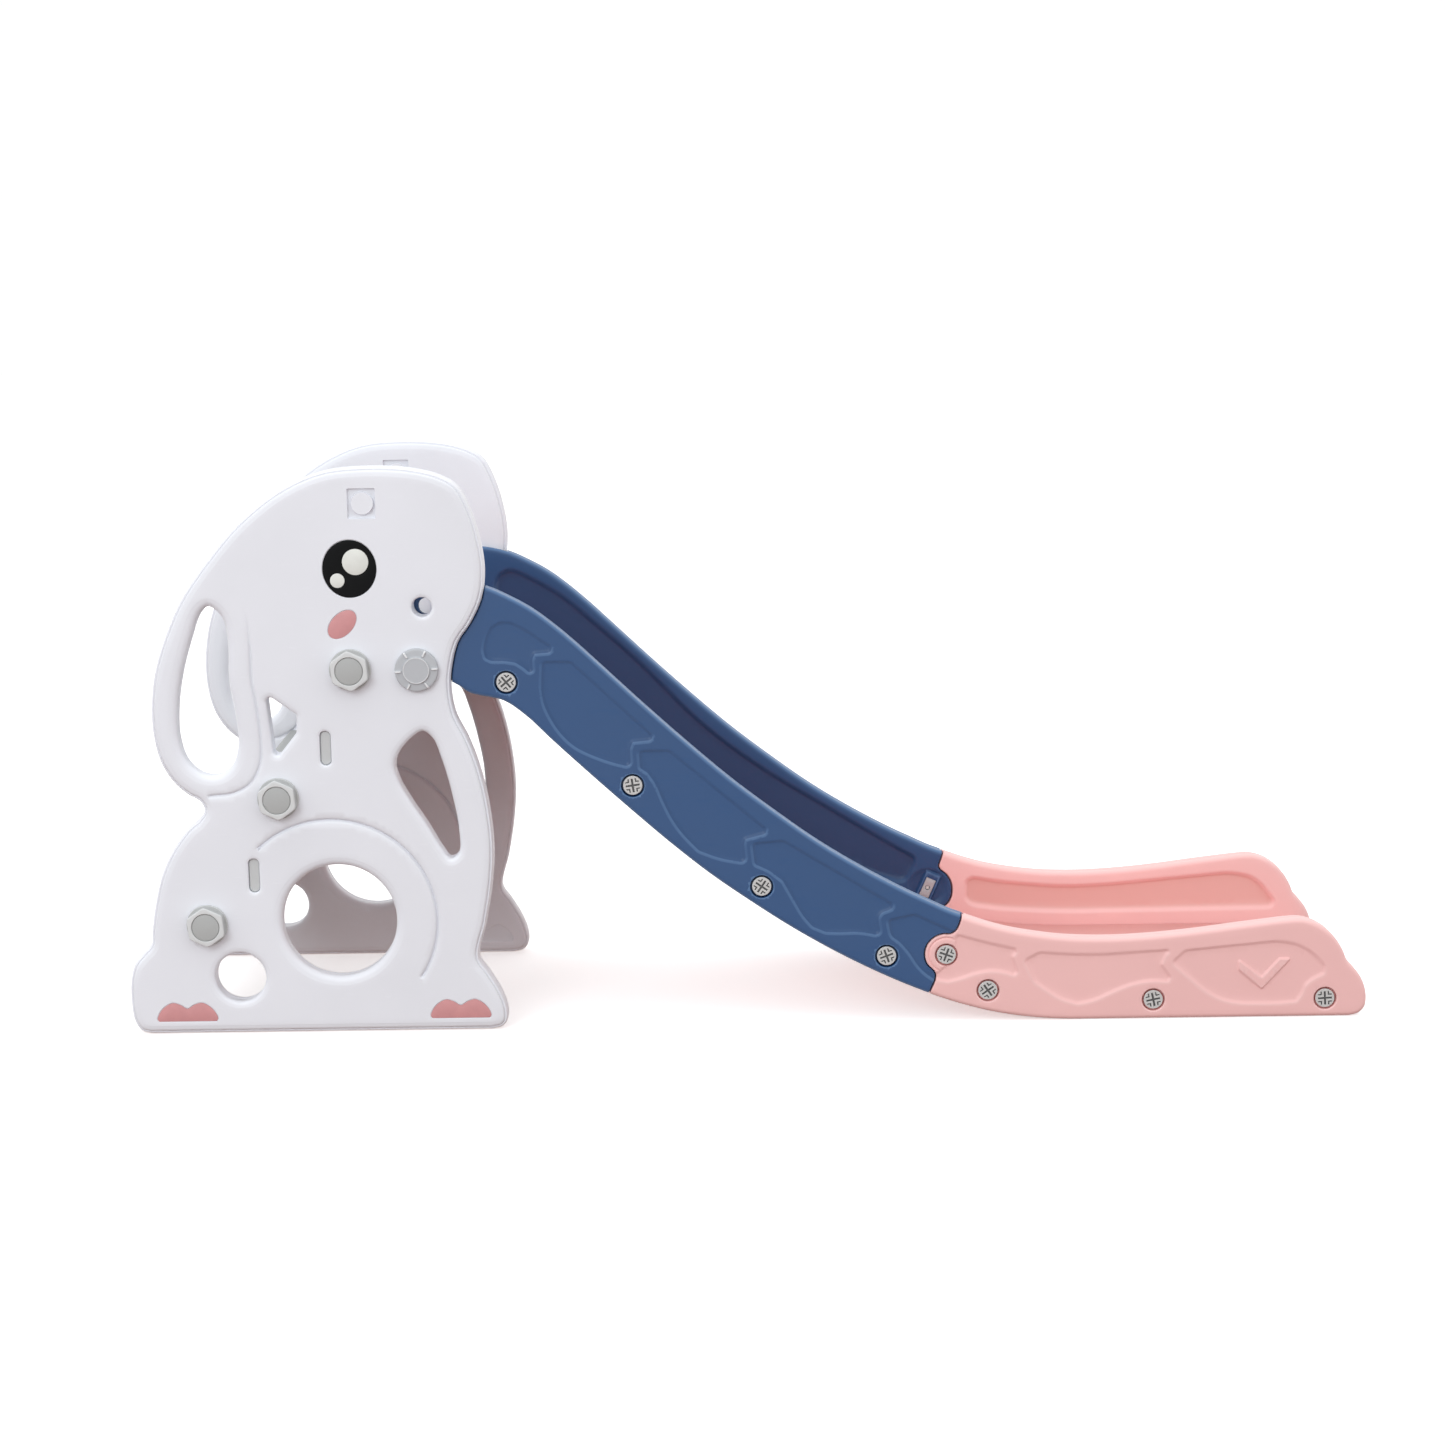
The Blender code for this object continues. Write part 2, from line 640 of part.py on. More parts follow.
def hand_nut_mesh():
    """Six-lobed hand nut with a blind bore and a round cap on its front."""
    count = 18
    bore = ROD_RADIUS + GAP
    depth = ROD_HALF_LENGTH - PANEL_OUTER
    rings = [
        lobed_ring(bore, bore, depth, count),
        lobed_ring(bore, bore, GAP, count),
        lobed_ring(NUT_CORNER - 1, NUT_FLAT - 1, GAP, count),
        lobed_ring(NUT_CORNER, NUT_FLAT, 1.6, count),
        lobed_ring(NUT_CORNER - 0.6, NUT_FLAT - 0.6, 10.5, count),
        lobed_ring(NUT_CORNER - 4.5, NUT_FLAT - 2.6, 13.5, count),
        lobed_ring(18, 18, 14, count),
        lobed_ring(16.5, 16.5, NUT_HEIGHT, count),
    ]
    return loft("hand_nut", rings, depth + GAP, NUT_HEIGHT)


def ribbed_nut_mesh():
    """Flat round nut with six radial ribs and a raised centre."""
    count = 18
    bore = ROD_RADIUS + GAP
    depth = ROD_HALF_LENGTH - PANEL_OUTER

    def ribbed(radius, height, rise):
        ring = lobed_ring(radius, radius, height, count)
        return [(x, y, z + (rise if index % 3 == 0 else 0.0))
                for index, (x, y, z) in enumerate(ring)]
    rings = [
        lobed_ring(bore, bore, depth, count),
        lobed_ring(bore, bore, GAP, count),
        lobed_ring(FLAT_NUT_RADIUS, FLAT_NUT_RADIUS, GAP, count),
        lobed_ring(FLAT_NUT_RADIUS, FLAT_NUT_RADIUS, 5.0, count),
        ribbed(FLAT_NUT_RADIUS - 2, 7.0, 1.2),
        ribbed(16.4, 7.5, 1.2),
        lobed_ring(15.8, 15.8, 10.5, count),
        lobed_ring(14.6, 14.6, 11.5, count),
    ]
    return loft("ribbed_nut", rings, depth + GAP, 11.5)


def nuts(parts):
    """Hand nut on each end of every tie rod, turning about the rod."""
    hexagonal, ribbed = hand_nut_mesh(), ribbed_nut_mesh()
    for side, label in ((-1, "right"), (1, "left")):
        for step_name, (x, z) in STEP_RODS.items():
            nut = place(f"{label}_{step_name}_nut", hexagonal, parts, "grey_plastic")
            shade(face_outward(nut, side, x, z, PANEL_OUTER, NUT_TURN))
        nut = place(f"{label}_chute_nut", ribbed, parts, "grey_plastic")
        shade(face_outward(nut, side, *CHUTE_ROD, PANEL_OUTER, 5))


def cross_cutter(name, helpers):
    """Plus-shaped bar that sinks the cross recess of a screw head."""
    long, short, sunk = 8.5, 1.3, 1.5
    corners = [(short, long), (-short, long), (-short, short), (-long, short),
               (-long, -short), (-short, -short), (-short, -long), (short, -long),
               (short, -short), (long, -short), (long, short), (short, short)]
    shape = bmesh.new()
    base = shape.faces.new([shape.verts.new(Vector((x, y, -sunk)) * MM) for x, y in corners])
    raised = bmesh.ops.extrude_face_region(shape, geom=[base])["geom"]
    tops = [item for item in raised if isinstance(item, bmesh.types.BMVert)]
    bmesh.ops.translate(shape, vec=(0, 0, 2 * sunk * MM), verts=tops)
    bmesh.ops.recalc_face_normals(shape, faces=shape.faces)
    mesh = bpy.data.meshes.new(name)
    shape.to_mesh(mesh)
    shape.free()
    return place(name, mesh, helpers)


def screw_mesh(name, length, helpers):
    """Plastic screw with a wide flat head and a cross recess, top of the head at zero."""
    rim = HEAD_RADIUS
    profile = [(0, 0), (rim - 0.8, 0), (rim, -0.8), (rim, -HEAD_THICK),
               (SHANK_RADIUS, -HEAD_THICK), (SHANK_RADIUS, -length), (0, -length)]
    blank = turned(name, profile, 12, helpers)
    boolean(blank, cross_cutter(f"cut_{name}_cross", helpers))
    graph = bpy.context.evaluated_depsgraph_get()
    mesh = bpy.data.meshes.new_from_object(blank.evaluated_get(graph))
    bpy.data.objects.remove(blank.modifiers[-1].object, do_unlink=True)
    bpy.data.objects.remove(blank, do_unlink=True)
    return mesh


def rail_screws(parts, helpers):
    """Screws of both rails, each pair holding a bed, and one at each rail joint."""
    long_mesh = screw_mesh("rail_screw", SHANK_LENGTH, helpers)
    short_mesh = screw_mesh("joint_screw", JOINT_SHANK_LENGTH, helpers)
    for side, label in ((-1, "right"), (1, "left")):
        for index, (x, z) in enumerate(UPPER_SCREWS + LOWER_SCREWS, 1):
            screw = place(f"{label}_rail_screw_{index}", long_mesh, parts, "screw_plastic")
            shade(face_outward(screw, side, x, z, RAIL_OUTER - HEAD_SINK, SCREW_TURNS[x]))
        x, z = JOINT_SCREW
        screw = place(f"{label}_joint_screw", short_mesh, parts, "screw_plastic")
        shade(face_outward(screw, side, x, z, RAIL_OUTER - HEAD_SINK, SCREW_TURNS[x]))


def screw_bore(rail, side, label, x, z, helpers):
    """Stepped hole for one screw through a rail."""
    sunk = HEAD_SINK + HEAD_THICK + GAP
    profile = [(0, 2), (HEAD_BORE, 2), (HEAD_BORE, -sunk), (SHANK_RADIUS + GAP, -sunk),
               (SHANK_RADIUS + GAP, -30), (0, -30)]
    bore = turned(f"cut_{label}_bore_{x}", profile, 16, helpers)
    boolean(rail, face_outward(bore, side, x, z, RAIL_OUTER))


def panel_front_edge():
    """Stretch of a panel's front edge that the rail butts against."""
    edge = smooth(PANEL_OUTLINE, 12, closed=False)
    return [(x, z) for x, z in edge if x > 400 and 380 < z < 640]


def seam_region(seam, shift, far_x):
    """Area on one side of a rail seam, out to far_x, moved along X by shift."""
    line = [(x + shift, z) for x, z in smooth(seam, 9, closed=False)]
    return line + [(far_x, line[-1][1]), (far_x, line[0][1])]


def rail_fields(rail, side, label, fields, helpers, island=None):
    """Sunk decorative fields on a rail's outer face."""
    floor = side * (RAIL_OUTER - FIELD_DEPTH)
    for index, field in enumerate(fields):
        loops = [field]
        if island and index == len(fields) - 1:
            loops.append(island)
        name = f"{label}_field_{index}"
        cutter(rail, name, loops, floor, side * (RAIL_OUTER + 1), helpers)


def upper_rail(side, name, parts, helpers):
    """Upper chute rail: a tongue behind the panel, then the side wall of the chute."""
    loop = smooth(UPPER_RAIL, 60, closed=False) + smooth(UPPER_RAIL_TOP, 60, closed=False)
    ends = (side * RAIL_INNER, side * RAIL_OUTER)
    rail = prism(name, [loop], *ends, parts, "blue_plastic", RAIL_EDGE, 1)
    edge = [(x + 1.2, z) for x, z in panel_front_edge()]
    behind = edge + [(330, edge[-1][1]), (330, edge[0][1])]
    clear = PANEL_INNER - GAP
    cutter(rail, f"{name}_panel", [behind], side * clear, side * 200, helpers)
    middle = GAP / 2
    outer = seam_region(OUTER_SEAM, 0.0, 1140)
    cutter(rail, f"{name}_outer_lap", [outer], side * (LAP_PLANE - middle), side * 200, helpers)
    inner = seam_region(INNER_SEAM, 0.0, 1150)
    cutter(rail, f"{name}_inner_lap", [inner], side * 168, side * (LAP_PLANE + 2), helpers)
    rail_fields(rail, side, name, UPPER_FIELDS, helpers)
    floor = side * (RAIL_INNER + INNER_FIELD_DEPTH)
    cutter(rail, f"{name}_inner", [UPPER_INNER_FIELD], side * 169, floor, helpers)
    for x, z in UPPER_SCREWS:
        screw_bore(rail, side, name, x, z, helpers)
    for label, centre, radius in (("joint", JOINT_SCREW, SHANK_RADIUS),
                                  ("rod", CHUTE_ROD, ROD_RADIUS),
                                  ("port", RAIL_PORT[:2], RAIL_PORT[2] - GAP)):
        hole = circle(*centre, radius + GAP, 14)
        cutter(rail, f"{name}_{label}", [hole], side * 169, side * 199, helpers)
    pocket = rectangle(*JOINT_SCREW, PLATE_WIDTH + 2 * GAP, PLATE_LENGTH + 2 * GAP,
                       tilt=PLATE_TURN)
    floor = side * (RAIL_INNER + PLATE_POCKET)
    cutter(rail, f"{name}_pocket", [pocket], side * 169, floor, helpers)
    return shade(rail)


def lower_rail(side, name, parts, helpers):
    """Lower chute rail, flat on the floor, lapped onto the upper rail."""
    loop = smooth(LOWER_RAIL_BOTTOM, 60, closed=False)
    loop += smooth(LOWER_RAIL_END, 18, closed=False)
    loop += smooth(LOWER_RAIL_TOP, 60, closed=False)[1:]
    ends = (side * RAIL_INNER, side * RAIL_OUTER)
    rail = prism(name, [loop], *ends, parts, "pink_plastic", RAIL_EDGE, 1)
    middle = GAP / 2
    outer = seam_region(OUTER_SEAM, GAP, 950)
    cutter(rail, f"{name}_outer_lap", [outer], side * (LAP_PLANE - 2), side * 200, helpers)
    inner = seam_region(INNER_SEAM, GAP, 940)
    cutter(rail, f"{name}_inner_lap", [inner], side * 168, side * (LAP_PLANE + middle), helpers)
    rail_fields(rail, side, name, LOWER_FIELDS, helpers, CHECK_MARK)
    floor = side * (RAIL_INNER + INNER_FIELD_DEPTH)
    cutter(rail, f"{name}_inner", [LOWER_INNER_FIELD], side * 169, floor, helpers)
    for x, z in LOWER_SCREWS + [JOINT_SCREW]:
        screw_bore(rail, side, name, x, z, helpers)
    return shade(rail)


def nut_plate(side, name, parts):
    """Metal nut plate in the pocket behind the rail joint."""
    outline = rectangle(*JOINT_SCREW, PLATE_WIDTH, PLATE_LENGTH, tilt=PLATE_TURN)
    hole = circle(*JOINT_SCREW, SHANK_RADIUS + GAP, 14)
    start = RAIL_INNER + PLATE_POCKET - GAP - PLATE_THICK
    ends = (side * start, side * (start + PLATE_THICK))
    return prism(name, [outline, hole], *ends, parts, "nut_plate_metal")


def upper_bed(parts, helpers):
    """Upper sliding surface, with an eye at its top end that hangs on the chute rod."""
    line = smooth(UPPER_BED_LINE, 60, closed=False)
    top = offset_line(line, BED_HALF_THICK)
    bottom = offset_line(line, -BED_HALF_THICK)
    x, z = CHUTE_ROD
    eye = arc(x, z, 17, 170, 320, 9)
    loop = [(404, 484), (368, 485), (361, 483), (359, 477)] + eye + bottom + top[::-1]
    hole = circle(x, z, ROD_RADIUS + GAP, 16)
    ends = (-BED_HALF_WIDTH, BED_HALF_WIDTH)
    bed = prism("upper_chute_bed", [loop, hole], *ends, parts, "pink_plastic")
    bed_screw_holes(bed, UPPER_SCREWS, helpers)
    return shade(bed)


def lower_bed(parts, helpers):
    """Lower sliding surface, which ends in a rounded lip near the floor."""
    line = smooth(LOWER_BED_LINE, 60, closed=False)
    top = offset_line(line, BED_HALF_THICK)
    bottom = offset_line(line, -BED_HALF_THICK)
    x, z = LOWER_BED_LINE[-1]
    loop = bottom + arc(x, z, BED_HALF_THICK, -60, 60, 5) + top[::-1]
    ends = (-BED_HALF_WIDTH, BED_HALF_WIDTH)
    bed = prism("lower_chute_bed", [loop], *ends, parts, "pink_plastic")
    bed_screw_holes(bed, LOWER_SCREWS, helpers)
    return shade(bed)


def bed_screw_holes(bed, screws, helpers):
    """Blind holes in both edges of a bed for the rail screws."""
    reach = RAIL_OUTER - HEAD_SINK - SHANK_LENGTH - 1.0
    for side in (-1, 1):
        for x, z in screws:
            hole = circle(x, z, SHANK_RADIUS + GAP, 12)
            name = f"{bed.name}_{'left' if side > 0 else 'right'}_{x}"
            cutter(bed, name, [hole], side * reach, side * (RAIL_INNER + 1), helpers)


def build():
    """Build every piece of the slide."""
    clear_scene()
    parts = make_collection(OBJECT)
    helpers = make_collection("cutters")
    for side, label in ((-1, "right"), (1, "left")):
        side_panel(side, f"{label}_side_panel", parts, helpers)
        decals(side, label, parts)
        upper_rail(side, f"{label}_upper_rail", parts, helpers)
        lower_rail(side, f"{label}_lower_rail", parts, helpers)
        nut_plate(side, f"{label}_nut_plate", parts)
    for label, centre in STEP_RODS.items():
        step(label, parts, helpers)
        rod(f"{label}_rod", centre, parts)
    rod("chute_rod", CHUTE_ROD, parts)
    nuts(parts)
    upper_bed(parts, helpers)
    lower_bed(parts, helpers)
    rail_screws(parts, helpers)


build()
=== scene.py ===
"""Looks of the toddler slide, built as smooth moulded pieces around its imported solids.

Side-view outlines are (x, z) in millimetres, with x measured from the rear toe of the
panels and z from the floor; depths across the slide are in millimetres from the middle.
"""

import math

import bmesh
import bpy
import numpy as np
from mathutils import Matrix, Vector
from mathutils.geometry import delaunay_2d_cdt
from mathutils.kdtree import KDTree


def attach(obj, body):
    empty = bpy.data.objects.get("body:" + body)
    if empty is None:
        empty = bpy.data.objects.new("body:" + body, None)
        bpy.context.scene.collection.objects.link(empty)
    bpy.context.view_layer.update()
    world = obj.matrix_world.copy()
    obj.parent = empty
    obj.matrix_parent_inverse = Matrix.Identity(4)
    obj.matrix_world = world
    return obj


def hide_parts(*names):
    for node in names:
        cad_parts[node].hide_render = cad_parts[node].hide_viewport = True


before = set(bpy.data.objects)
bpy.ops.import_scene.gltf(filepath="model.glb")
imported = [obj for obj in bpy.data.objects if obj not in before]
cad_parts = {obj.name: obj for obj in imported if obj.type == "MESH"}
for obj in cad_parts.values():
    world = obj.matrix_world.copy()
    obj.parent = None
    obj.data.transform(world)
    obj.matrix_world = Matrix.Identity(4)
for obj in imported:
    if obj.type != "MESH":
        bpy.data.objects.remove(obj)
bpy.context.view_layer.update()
MM = 0.001
GAP = 0.4
BODY = "slide_frame"
SIDES = ((-1, "right"), (1, "left"))


def pairs(text):
    """Side-view points from the x,z pairs of a text."""
    return [tuple(map(float, pair.split(","))) for pair in text.split()]


# Overall
X_MIDDLE = 788.0

# Side panels
PANEL_OUTER = 210.0
PANEL_THICK = 32.0
PANEL_INNER = PANEL_OUTER - PANEL_THICK
PANEL_OUTLINE = pairs("""
    24,0 11,4 3,18 0,44 1,70 7,91 20,107 29,117 31,135 37,170 47,207 64,241 84,267 98,279
    104.5,290 100,301 84,311 67,327 53,351 45,385 44,422 50,465 64,508 87,557 122,606 166,655
    218,694 268,715 325,720.5 380,717 414,708 435,695 450,667 461,630 466,592 462,556 448,525
    431,500 423,473 420,445 425,410 440,378 453,341 463,295 468,240 465,193 456,140 446,95 458,75
    472,51 480,28 480,13 474,4 460,0""")
EAR_HOLE = pairs("""
    121,549 110,540 98,510 84,463 77,420 77,382 86,353 104,337 124,335 142,347 151,375 149,410
    143,455 143,505 137,536""")
LEAF_HOLE = pairs("""
    384,388 369,380 352,360 347,345 352,324 366,298 385,268 402,238 413,224 424,231 425,262
    417,310 406,352 396,378""")
WEDGE_HOLE = [(188, 439, 5), (226, 411, 5), (225, 388, 5), (196, 352, 5)]
BIG_HOLE = (270, 145, 72.5)
SMALL_HOLE = (141.5, 73, 32)
PORT_HOLE = (387.5, 545, 12.5)
EAR_GROOVE = pairs("""
    164,552 169,530 171.5,495 172,455 176,425 180,385 178,350 165,325 143,312.5 113,309""")
THIGH_ARC = (262, 144, 132.5, 133.0, -33.0)
GROOVE_DEPTH = 2.4
SOCKET = (317, 675.5, 34, 37, 4.0)
SOCKET_DISC = (318, 675.5, 14)
TAB_SLOT = (14.0, 44.0)

# Printed decals, each in a shallow recess of the panel
DECAL_DEPTH = 1.0
DECAL_THICK = 0.6
EYE = (299.5, 594.5, 33.5, 36.0, 0.0)
CHEEK = (288.0, 525.0, 21.5, 13.3, 45.0)
TOE_CENTRES = (72.5, 421.0)
TOE_BASE = 17.0
TOE_HALF_WIDTH = 38.5
TOE_LOBE_TOP = 41.0

# Steps and their tie rods
ROD_RADIUS = 8.0
ROD_HALF_LENGTH = 219.0
STEP_RODS = {"lower": (103, 143), "middle": (199.5, 305.5), "platform": (296, 468)}
STEP_TOP = 17.0
STEP_BOTTOM = -18.0
TREAD_BACK = -44.5
TREAD_FRONT = 60.0
PLATFORM_FRONT = 56.0
RISER_THICK = 18.0
RISER_CENTRE = -35.0
SLOT_BELOW_ROD = -99.8
TAB_REACH = 207.0
CHUTE_ROD = (379, 467)

# Hand nuts
NUT_TURN = 35.0

# Chute rails
RAIL_OUTER = 198.0
RAIL_INNER = 170.0
LAP_PLANE = 184.0
RAIL_PORT = (390.5, 542.5, 10.5)
FIELD_DEPTH = 2.4
INNER_FIELD_DEPTH = 4.0
UPPER_RAIL = pairs("""
    358,467 361,456 368,449 379,446 400,448 418,448.5 430,443 441,435 453,431 468,428 481,425
    493,419 517,400 542,375 591,328.5 641,282.5 691,238 741,197 791,161 841,127.5 892,97 943,70
    994,46.5 1045,27 1100,13""")
UPPER_RAIL_TOP = pairs("""
    1100,125 1045,144 1017,157 989,170.5 934,200.5 878,235.5 823,275.5 768,318.5 713,366.5 658,417
    604,468.5 577,494 550,517.5 523,538 496,553.5 466,567 435,574 405,575 385,569 370,553
    364,530""")
LOWER_RAIL_BOTTOM = pairs("""
    985,50.5 1019,36 1045,26.5 1071,18.5 1096,12 1122,7 1147,3.5 1173,1.2 1200,0""")
LOWER_RAIL_END = pairs("""
    1554,0 1566,3 1574,11 1576,23 1573.5,39 1567,53 1558,64.5 1550.5,73 1546,84 1538,98 1527,110.5
    1514,120 1501,125.5 1487,128 1464,126.5""")
LOWER_RAIL_TOP = pairs("""
    1464,126.5 1409,120 1353,113 1297,108 1241,106 1185,108.5 1129,117 1101,124 1062,137.5
    1017,157 985,172""")
OUTER_SEAM = pairs("""
    1078,195 1060,141 1057,130 1052,119.5 1045,115 1036,115 1026,111.5 1017,103.5 1012.5,93
    1012.5,83 1016,74.5 1022,69 1026,62.5 1025.5,55 1022,46.5 1018,37 1006,-10""")
INNER_SEAM = pairs("""
    1085,195 1063,141 1058.5,128 1055.5,118.5 1058,113 1065,107.5 1071.5,98 1074,87 1073,75
    1068,65 1059,58 1050,54 1045,47 1040,34 1026,-10""")
UPPER_FIELDS = [pairs(text) for text in (
    """463,489 465,479 472,475.5 488,475.5 502,473 513,466 522,457 521,476 525,484 554,486 533,500
    515,513 497,522 484,523 473,517 466,504""",
    """536,472 534,437 537,418 544,402 556,382 573,365 592,355 617,345 642,338.5 641,360 645,370
    675,372.5 606,437 570,472""",
    """655,357 656,336 665,330 675,316 684,293 694,271 708,250 728,229 754,218.5 785,213 783,236
    785,243 816,251 755,303 692,357""",
    """796,236 799,210 817,202 834,188 848,162 859,142 871,128 887,121 905,120 930,121 955,115.5
    952,138 957,145 976,152 905,195 834,239""",
    """967,134 971,114 982,106 994,92 1006,72 1022,58 1040,50 1052,80 1060,119 1046,119 1000,141""",
)]
LOWER_FIELDS = [pairs(text) for text in (
    """1052,114 1052,84 1020,57 1042,53 1058,56.5 1076,63 1096,67 1115,64.5 1132,58 1127,75 1123,84
    1132,93 1094,102""",
    """1140,79 1153,51.5 1167,41 1186,28 1208,21.5 1230,26 1250,36 1274,46 1299,51 1329,49 1313,71
    1319,84 1325,90 1280,87 1235,85 1196,86 1159,89""",
    """1328,74 1350,54 1371,36 1392,24 1414,19.5 1466,19 1486,21 1492,29 1497,42 1506,50 1521,57
    1522,66 1509,82 1490,94 1464,100 1426,97 1380,92.5 1344,89""",
)]
CHECK_MARK = [(1412, 76), (1442, 53), (1464, 77), (1479, 77), (1442, 37), (1412, 63)]
UPPER_INNER_FIELD = pairs("""
    447,520 456,537 470,542 484,537 537,508 591,460 645,412 726,324 808,261 919,193 1002,142
    1022,131 1021,120 1006,96 960,110 880,152 800,202 726,260 645,331 570,400 500,458 452,492""")
LOWER_INNER_FIELD = pairs("""
    1094,96 1103,101 1141,94 1225,86 1290,88 1350,93 1420,99 1462,103 1490,97 1506,85 1523,62
    1519,54 1420,54 1320,53 1225,52 1141,57 1103,63 1094,70""")
UPPER_SCREWS = [(489, 447), (645, 313), (806, 180), (964, 87)]
LOWER_SCREWS = [(1093, 40), (1304, 25), (1523, 24)]
JOINT_SCREW = (1040, 87.5)
SCREW_TURNS = {489: 40, 645: 8, 806: 55, 964: 20, 1040: 70, 1093: 35, 1304: 12, 1523: 3}
HEAD_RADIUS = 12.8
HEAD_BORE = 14.3
HEAD_SINK = 1.0
HEAD_THICK = 4.0
SHANK_RADIUS = 3.0
SHANK_LENGTH = 36.0
JOINT_SHANK_LENGTH = 25.5

# Square nut plate of the rail joint
PLATE_TURN = -24.0
PLATE_LENGTH = 27.0
PLATE_WIDTH = 14.0
PLATE_THICK = 2.4
PLATE_POCKET = 3.4

# Chute beds
BED_HALF_THICK = 8.0
BED_HALF_WIDTH = RAIL_INNER - GAP
UPPER_BED_LINE = pairs("""
    430,466.5 489,447 518,427 560,391 645,313 725,245 806,180 885,130 964,87 1002,70 1037,56.5""")
LOWER_BED_LINE = pairs("""
    1038,56 1065,47 1093,39 1125,32 1165,27 1215,24.5 1300,24 1552,24""")

# Fine shape of the moulded pieces
LOOP_STEP = 3.0
CHUNK = 1500
STRAIGHT_BEND = 0.03
GENTLE_BEND = 0.35
SHARP_BEND = 0.8
EDGE_STEPS = 6
PANEL_RIM = 10.0
RAIL_RIM = 6.0
HOLE_RIMS = {"ear": 10.0, "leaf": 7.0, "wedge": 5.5, "big": 9.5, "small": 6.0, "port": 2.8,
             "slot": 2.2, "rod": 0.8}
BORDER = 0.35
BORDER_WALL = 1.3
PARTING_INSET = 0.35
PARTING_HALF = 0.8
EDGE_LINE = 3.8
EDGE_CREASE = (1.6, 2.0)
EAR_CREASE = (3.2, GROOVE_DEPTH + 0.6)
EAR_FADE = 70.0
THIGH_CREASE = (3.2, GROOVE_DEPTH + 1.4)
SHINES = (("big", 307, 603, 16.3), ("small", 284, 580, 9.0))
# Width and share of the painted highlight along field lips
LIP = 2.6
LIP_HIGHLIGHT = 0.95
FIELD_WALL = 5.5
ISLAND_WALL = 3.0
INNER_WALL = 9.0
INNER_DEEPER = 2.6
BASIN_RADIUS = 25
BASIN_DEPTH = 4.0
JOINT_RING = 22.4
SEAM_GAP = 2.0
SEAM_RIM = 1.5
UPPER_FAR = (1140, 1150)
LOWER_FAR = (950, 940)
PANEL_CLEARANCE = 1.2
BUTT_LOW = (400, 380)
BUTT_HIGH = (800, 640)
BUTT_FAR = 330
INSIDE = RAIL_INNER - 5
OUTSIDE = RAIL_OUTER + 7
TREAD_GROOVES = (26, 6, -14)
TAB_SHORTER = 1.5
TAB_PAINTED_LIGHT = 0.65
BED_HEAD = [(404, 484), (398, 484.4), (372, 485), (365, 484.6), (361, 482.5), (359, 477)]
BED_HOOK = (17, 170, 320, 24)
BLEND = 1.3
RIBBED_NUT_TURN = 4.0
HEAD_NARROWER = 0.6
HEAD_CROSS = (8.7, 1.15)
HEAD_CORNER = [(3.9, 3.9), (8.9, 3.9), (8.5, 5.2), (5.4, 5.4), (5.2, 8.5), (3.9, 8.9)]

# Point marks for the materials
# rim carries a painted highlight, recess the depth that the materials paint as shade
MARKS = ("rim", "recess")

# Studio, in metres and degrees
FLOOR_HALF = 14.0
FLOOR_BELOW = 0.0005
FLOOR_GLOW = 0.50
WORLD_LEVEL = 1.01
WORLD_RISE = 0.02
WORLD_HORIZON = (-0.13, -0.09)
WORLD_BELOW = (0.20, 0.10, 0.08, 1.0)
LAMP_COLOUR = (0.92, 1.0, 1.05)
LAMPS = (
    ("top_softbox", (-0.6, -0.8, 3.4), (0.0, 0.0, 0.2), 2.4, 5.0),
    ("front_softbox", (-2.0, -4.0, 2.4), (0.0, 0.0, 0.3), 2.4, 52.0),
)
CAMERA_LENS = 73.8
CAMERA_SENSOR = 36.0
CAMERA_PLACE = (-0.0093, -3.8567, 1.0535)
CAMERA_TURN = (10.2427, -0.3029, -0.8511)


def spline(points, spacing=LOOP_STEP, closed=False):
    """Centripetal spline through the points, with a vertex about every spacing."""
    knots = [Vector(point) for point in points]
    count = len(knots)
    line = []
    for index in range(count if closed else count - 1):
        start, end = knots[index], knots[(index + 1) % count]
        before = knots[index - 1] if closed or index > 0 else start * 2 - end
        after = knots[(index + 2) % count] if closed or index < count - 2 else end * 2 - start
        knot_in, knot, knot_out = (
            step.length ** 0.5 for step in (start - before, end - start, after - end))
        leave = end - start + knot * (
            (start - before) / knot_in - (end - before) / (knot_in + knot))
        arrive = end - start + knot * (
            (after - end) / knot_out - (after - start) / (knot + knot_out))
        pieces = max(1, round((end - start).length / spacing))
        for t in (piece / pieces for piece in range(pieces)):
            line.append(
                start * (2 * t ** 3 - 3 * t ** 2 + 1) + leave * (t ** 3 - 2 * t ** 2 + t)
                + end * (3 * t ** 2 - 2 * t ** 3) + arrive * (t ** 3 - t ** 2))
    if not closed:
        line.append(knots[-1])
    return np.array([tuple(point) for point in line])


def dense(loop, spacing=LOOP_STEP):
    """Polygon with its straight edges divided to the spacing."""
    loop = np.asarray(loop, float)
    line = []
    for start, end in zip(loop, np.roll(loop, -1, 0)):
        pieces = max(1, round(float(np.hypot(*(end - start))) / spacing))
        line += [start + (end - start) * piece / pieces for piece in range(pieces)]
    return np.array(line)


def spokes(x, z, radius, turn):
    """Points round (x, z) at the given angles."""
    return np.column_stack((x + radius * np.cos(turn), z + radius * np.sin(turn)))


def circle(x, z, radius, count=None):
    """Circle in the side view."""
    count = count or max(24, round(math.tau * radius / LOOP_STEP * 1.5))
    return spokes(x, z, radius, np.arange(count) * math.tau / count)


def arc(x, z, radius, start, end, count):
    """Points on an arc from start to end, in degrees."""
    return spokes(x, z, radius, np.radians(np.linspace(start, end, count)))


def tilted(points, x, z, tilt):
    """Points turned about the origin by tilt degrees and moved to (x, z)."""
    cos, sin = math.cos(math.radians(tilt)), math.sin(math.radians(tilt))
    return np.asarray(points) @ np.array(((cos, sin), (-sin, cos))) + (x, z)


def ellipse(x, z, half_long, half_short, tilt):
    """Ellipse in the side view, its first half-axis turned by tilt degrees."""
    return tilted(circle(0, 0, 1, 96) * (half_long, half_short), x, z, tilt)


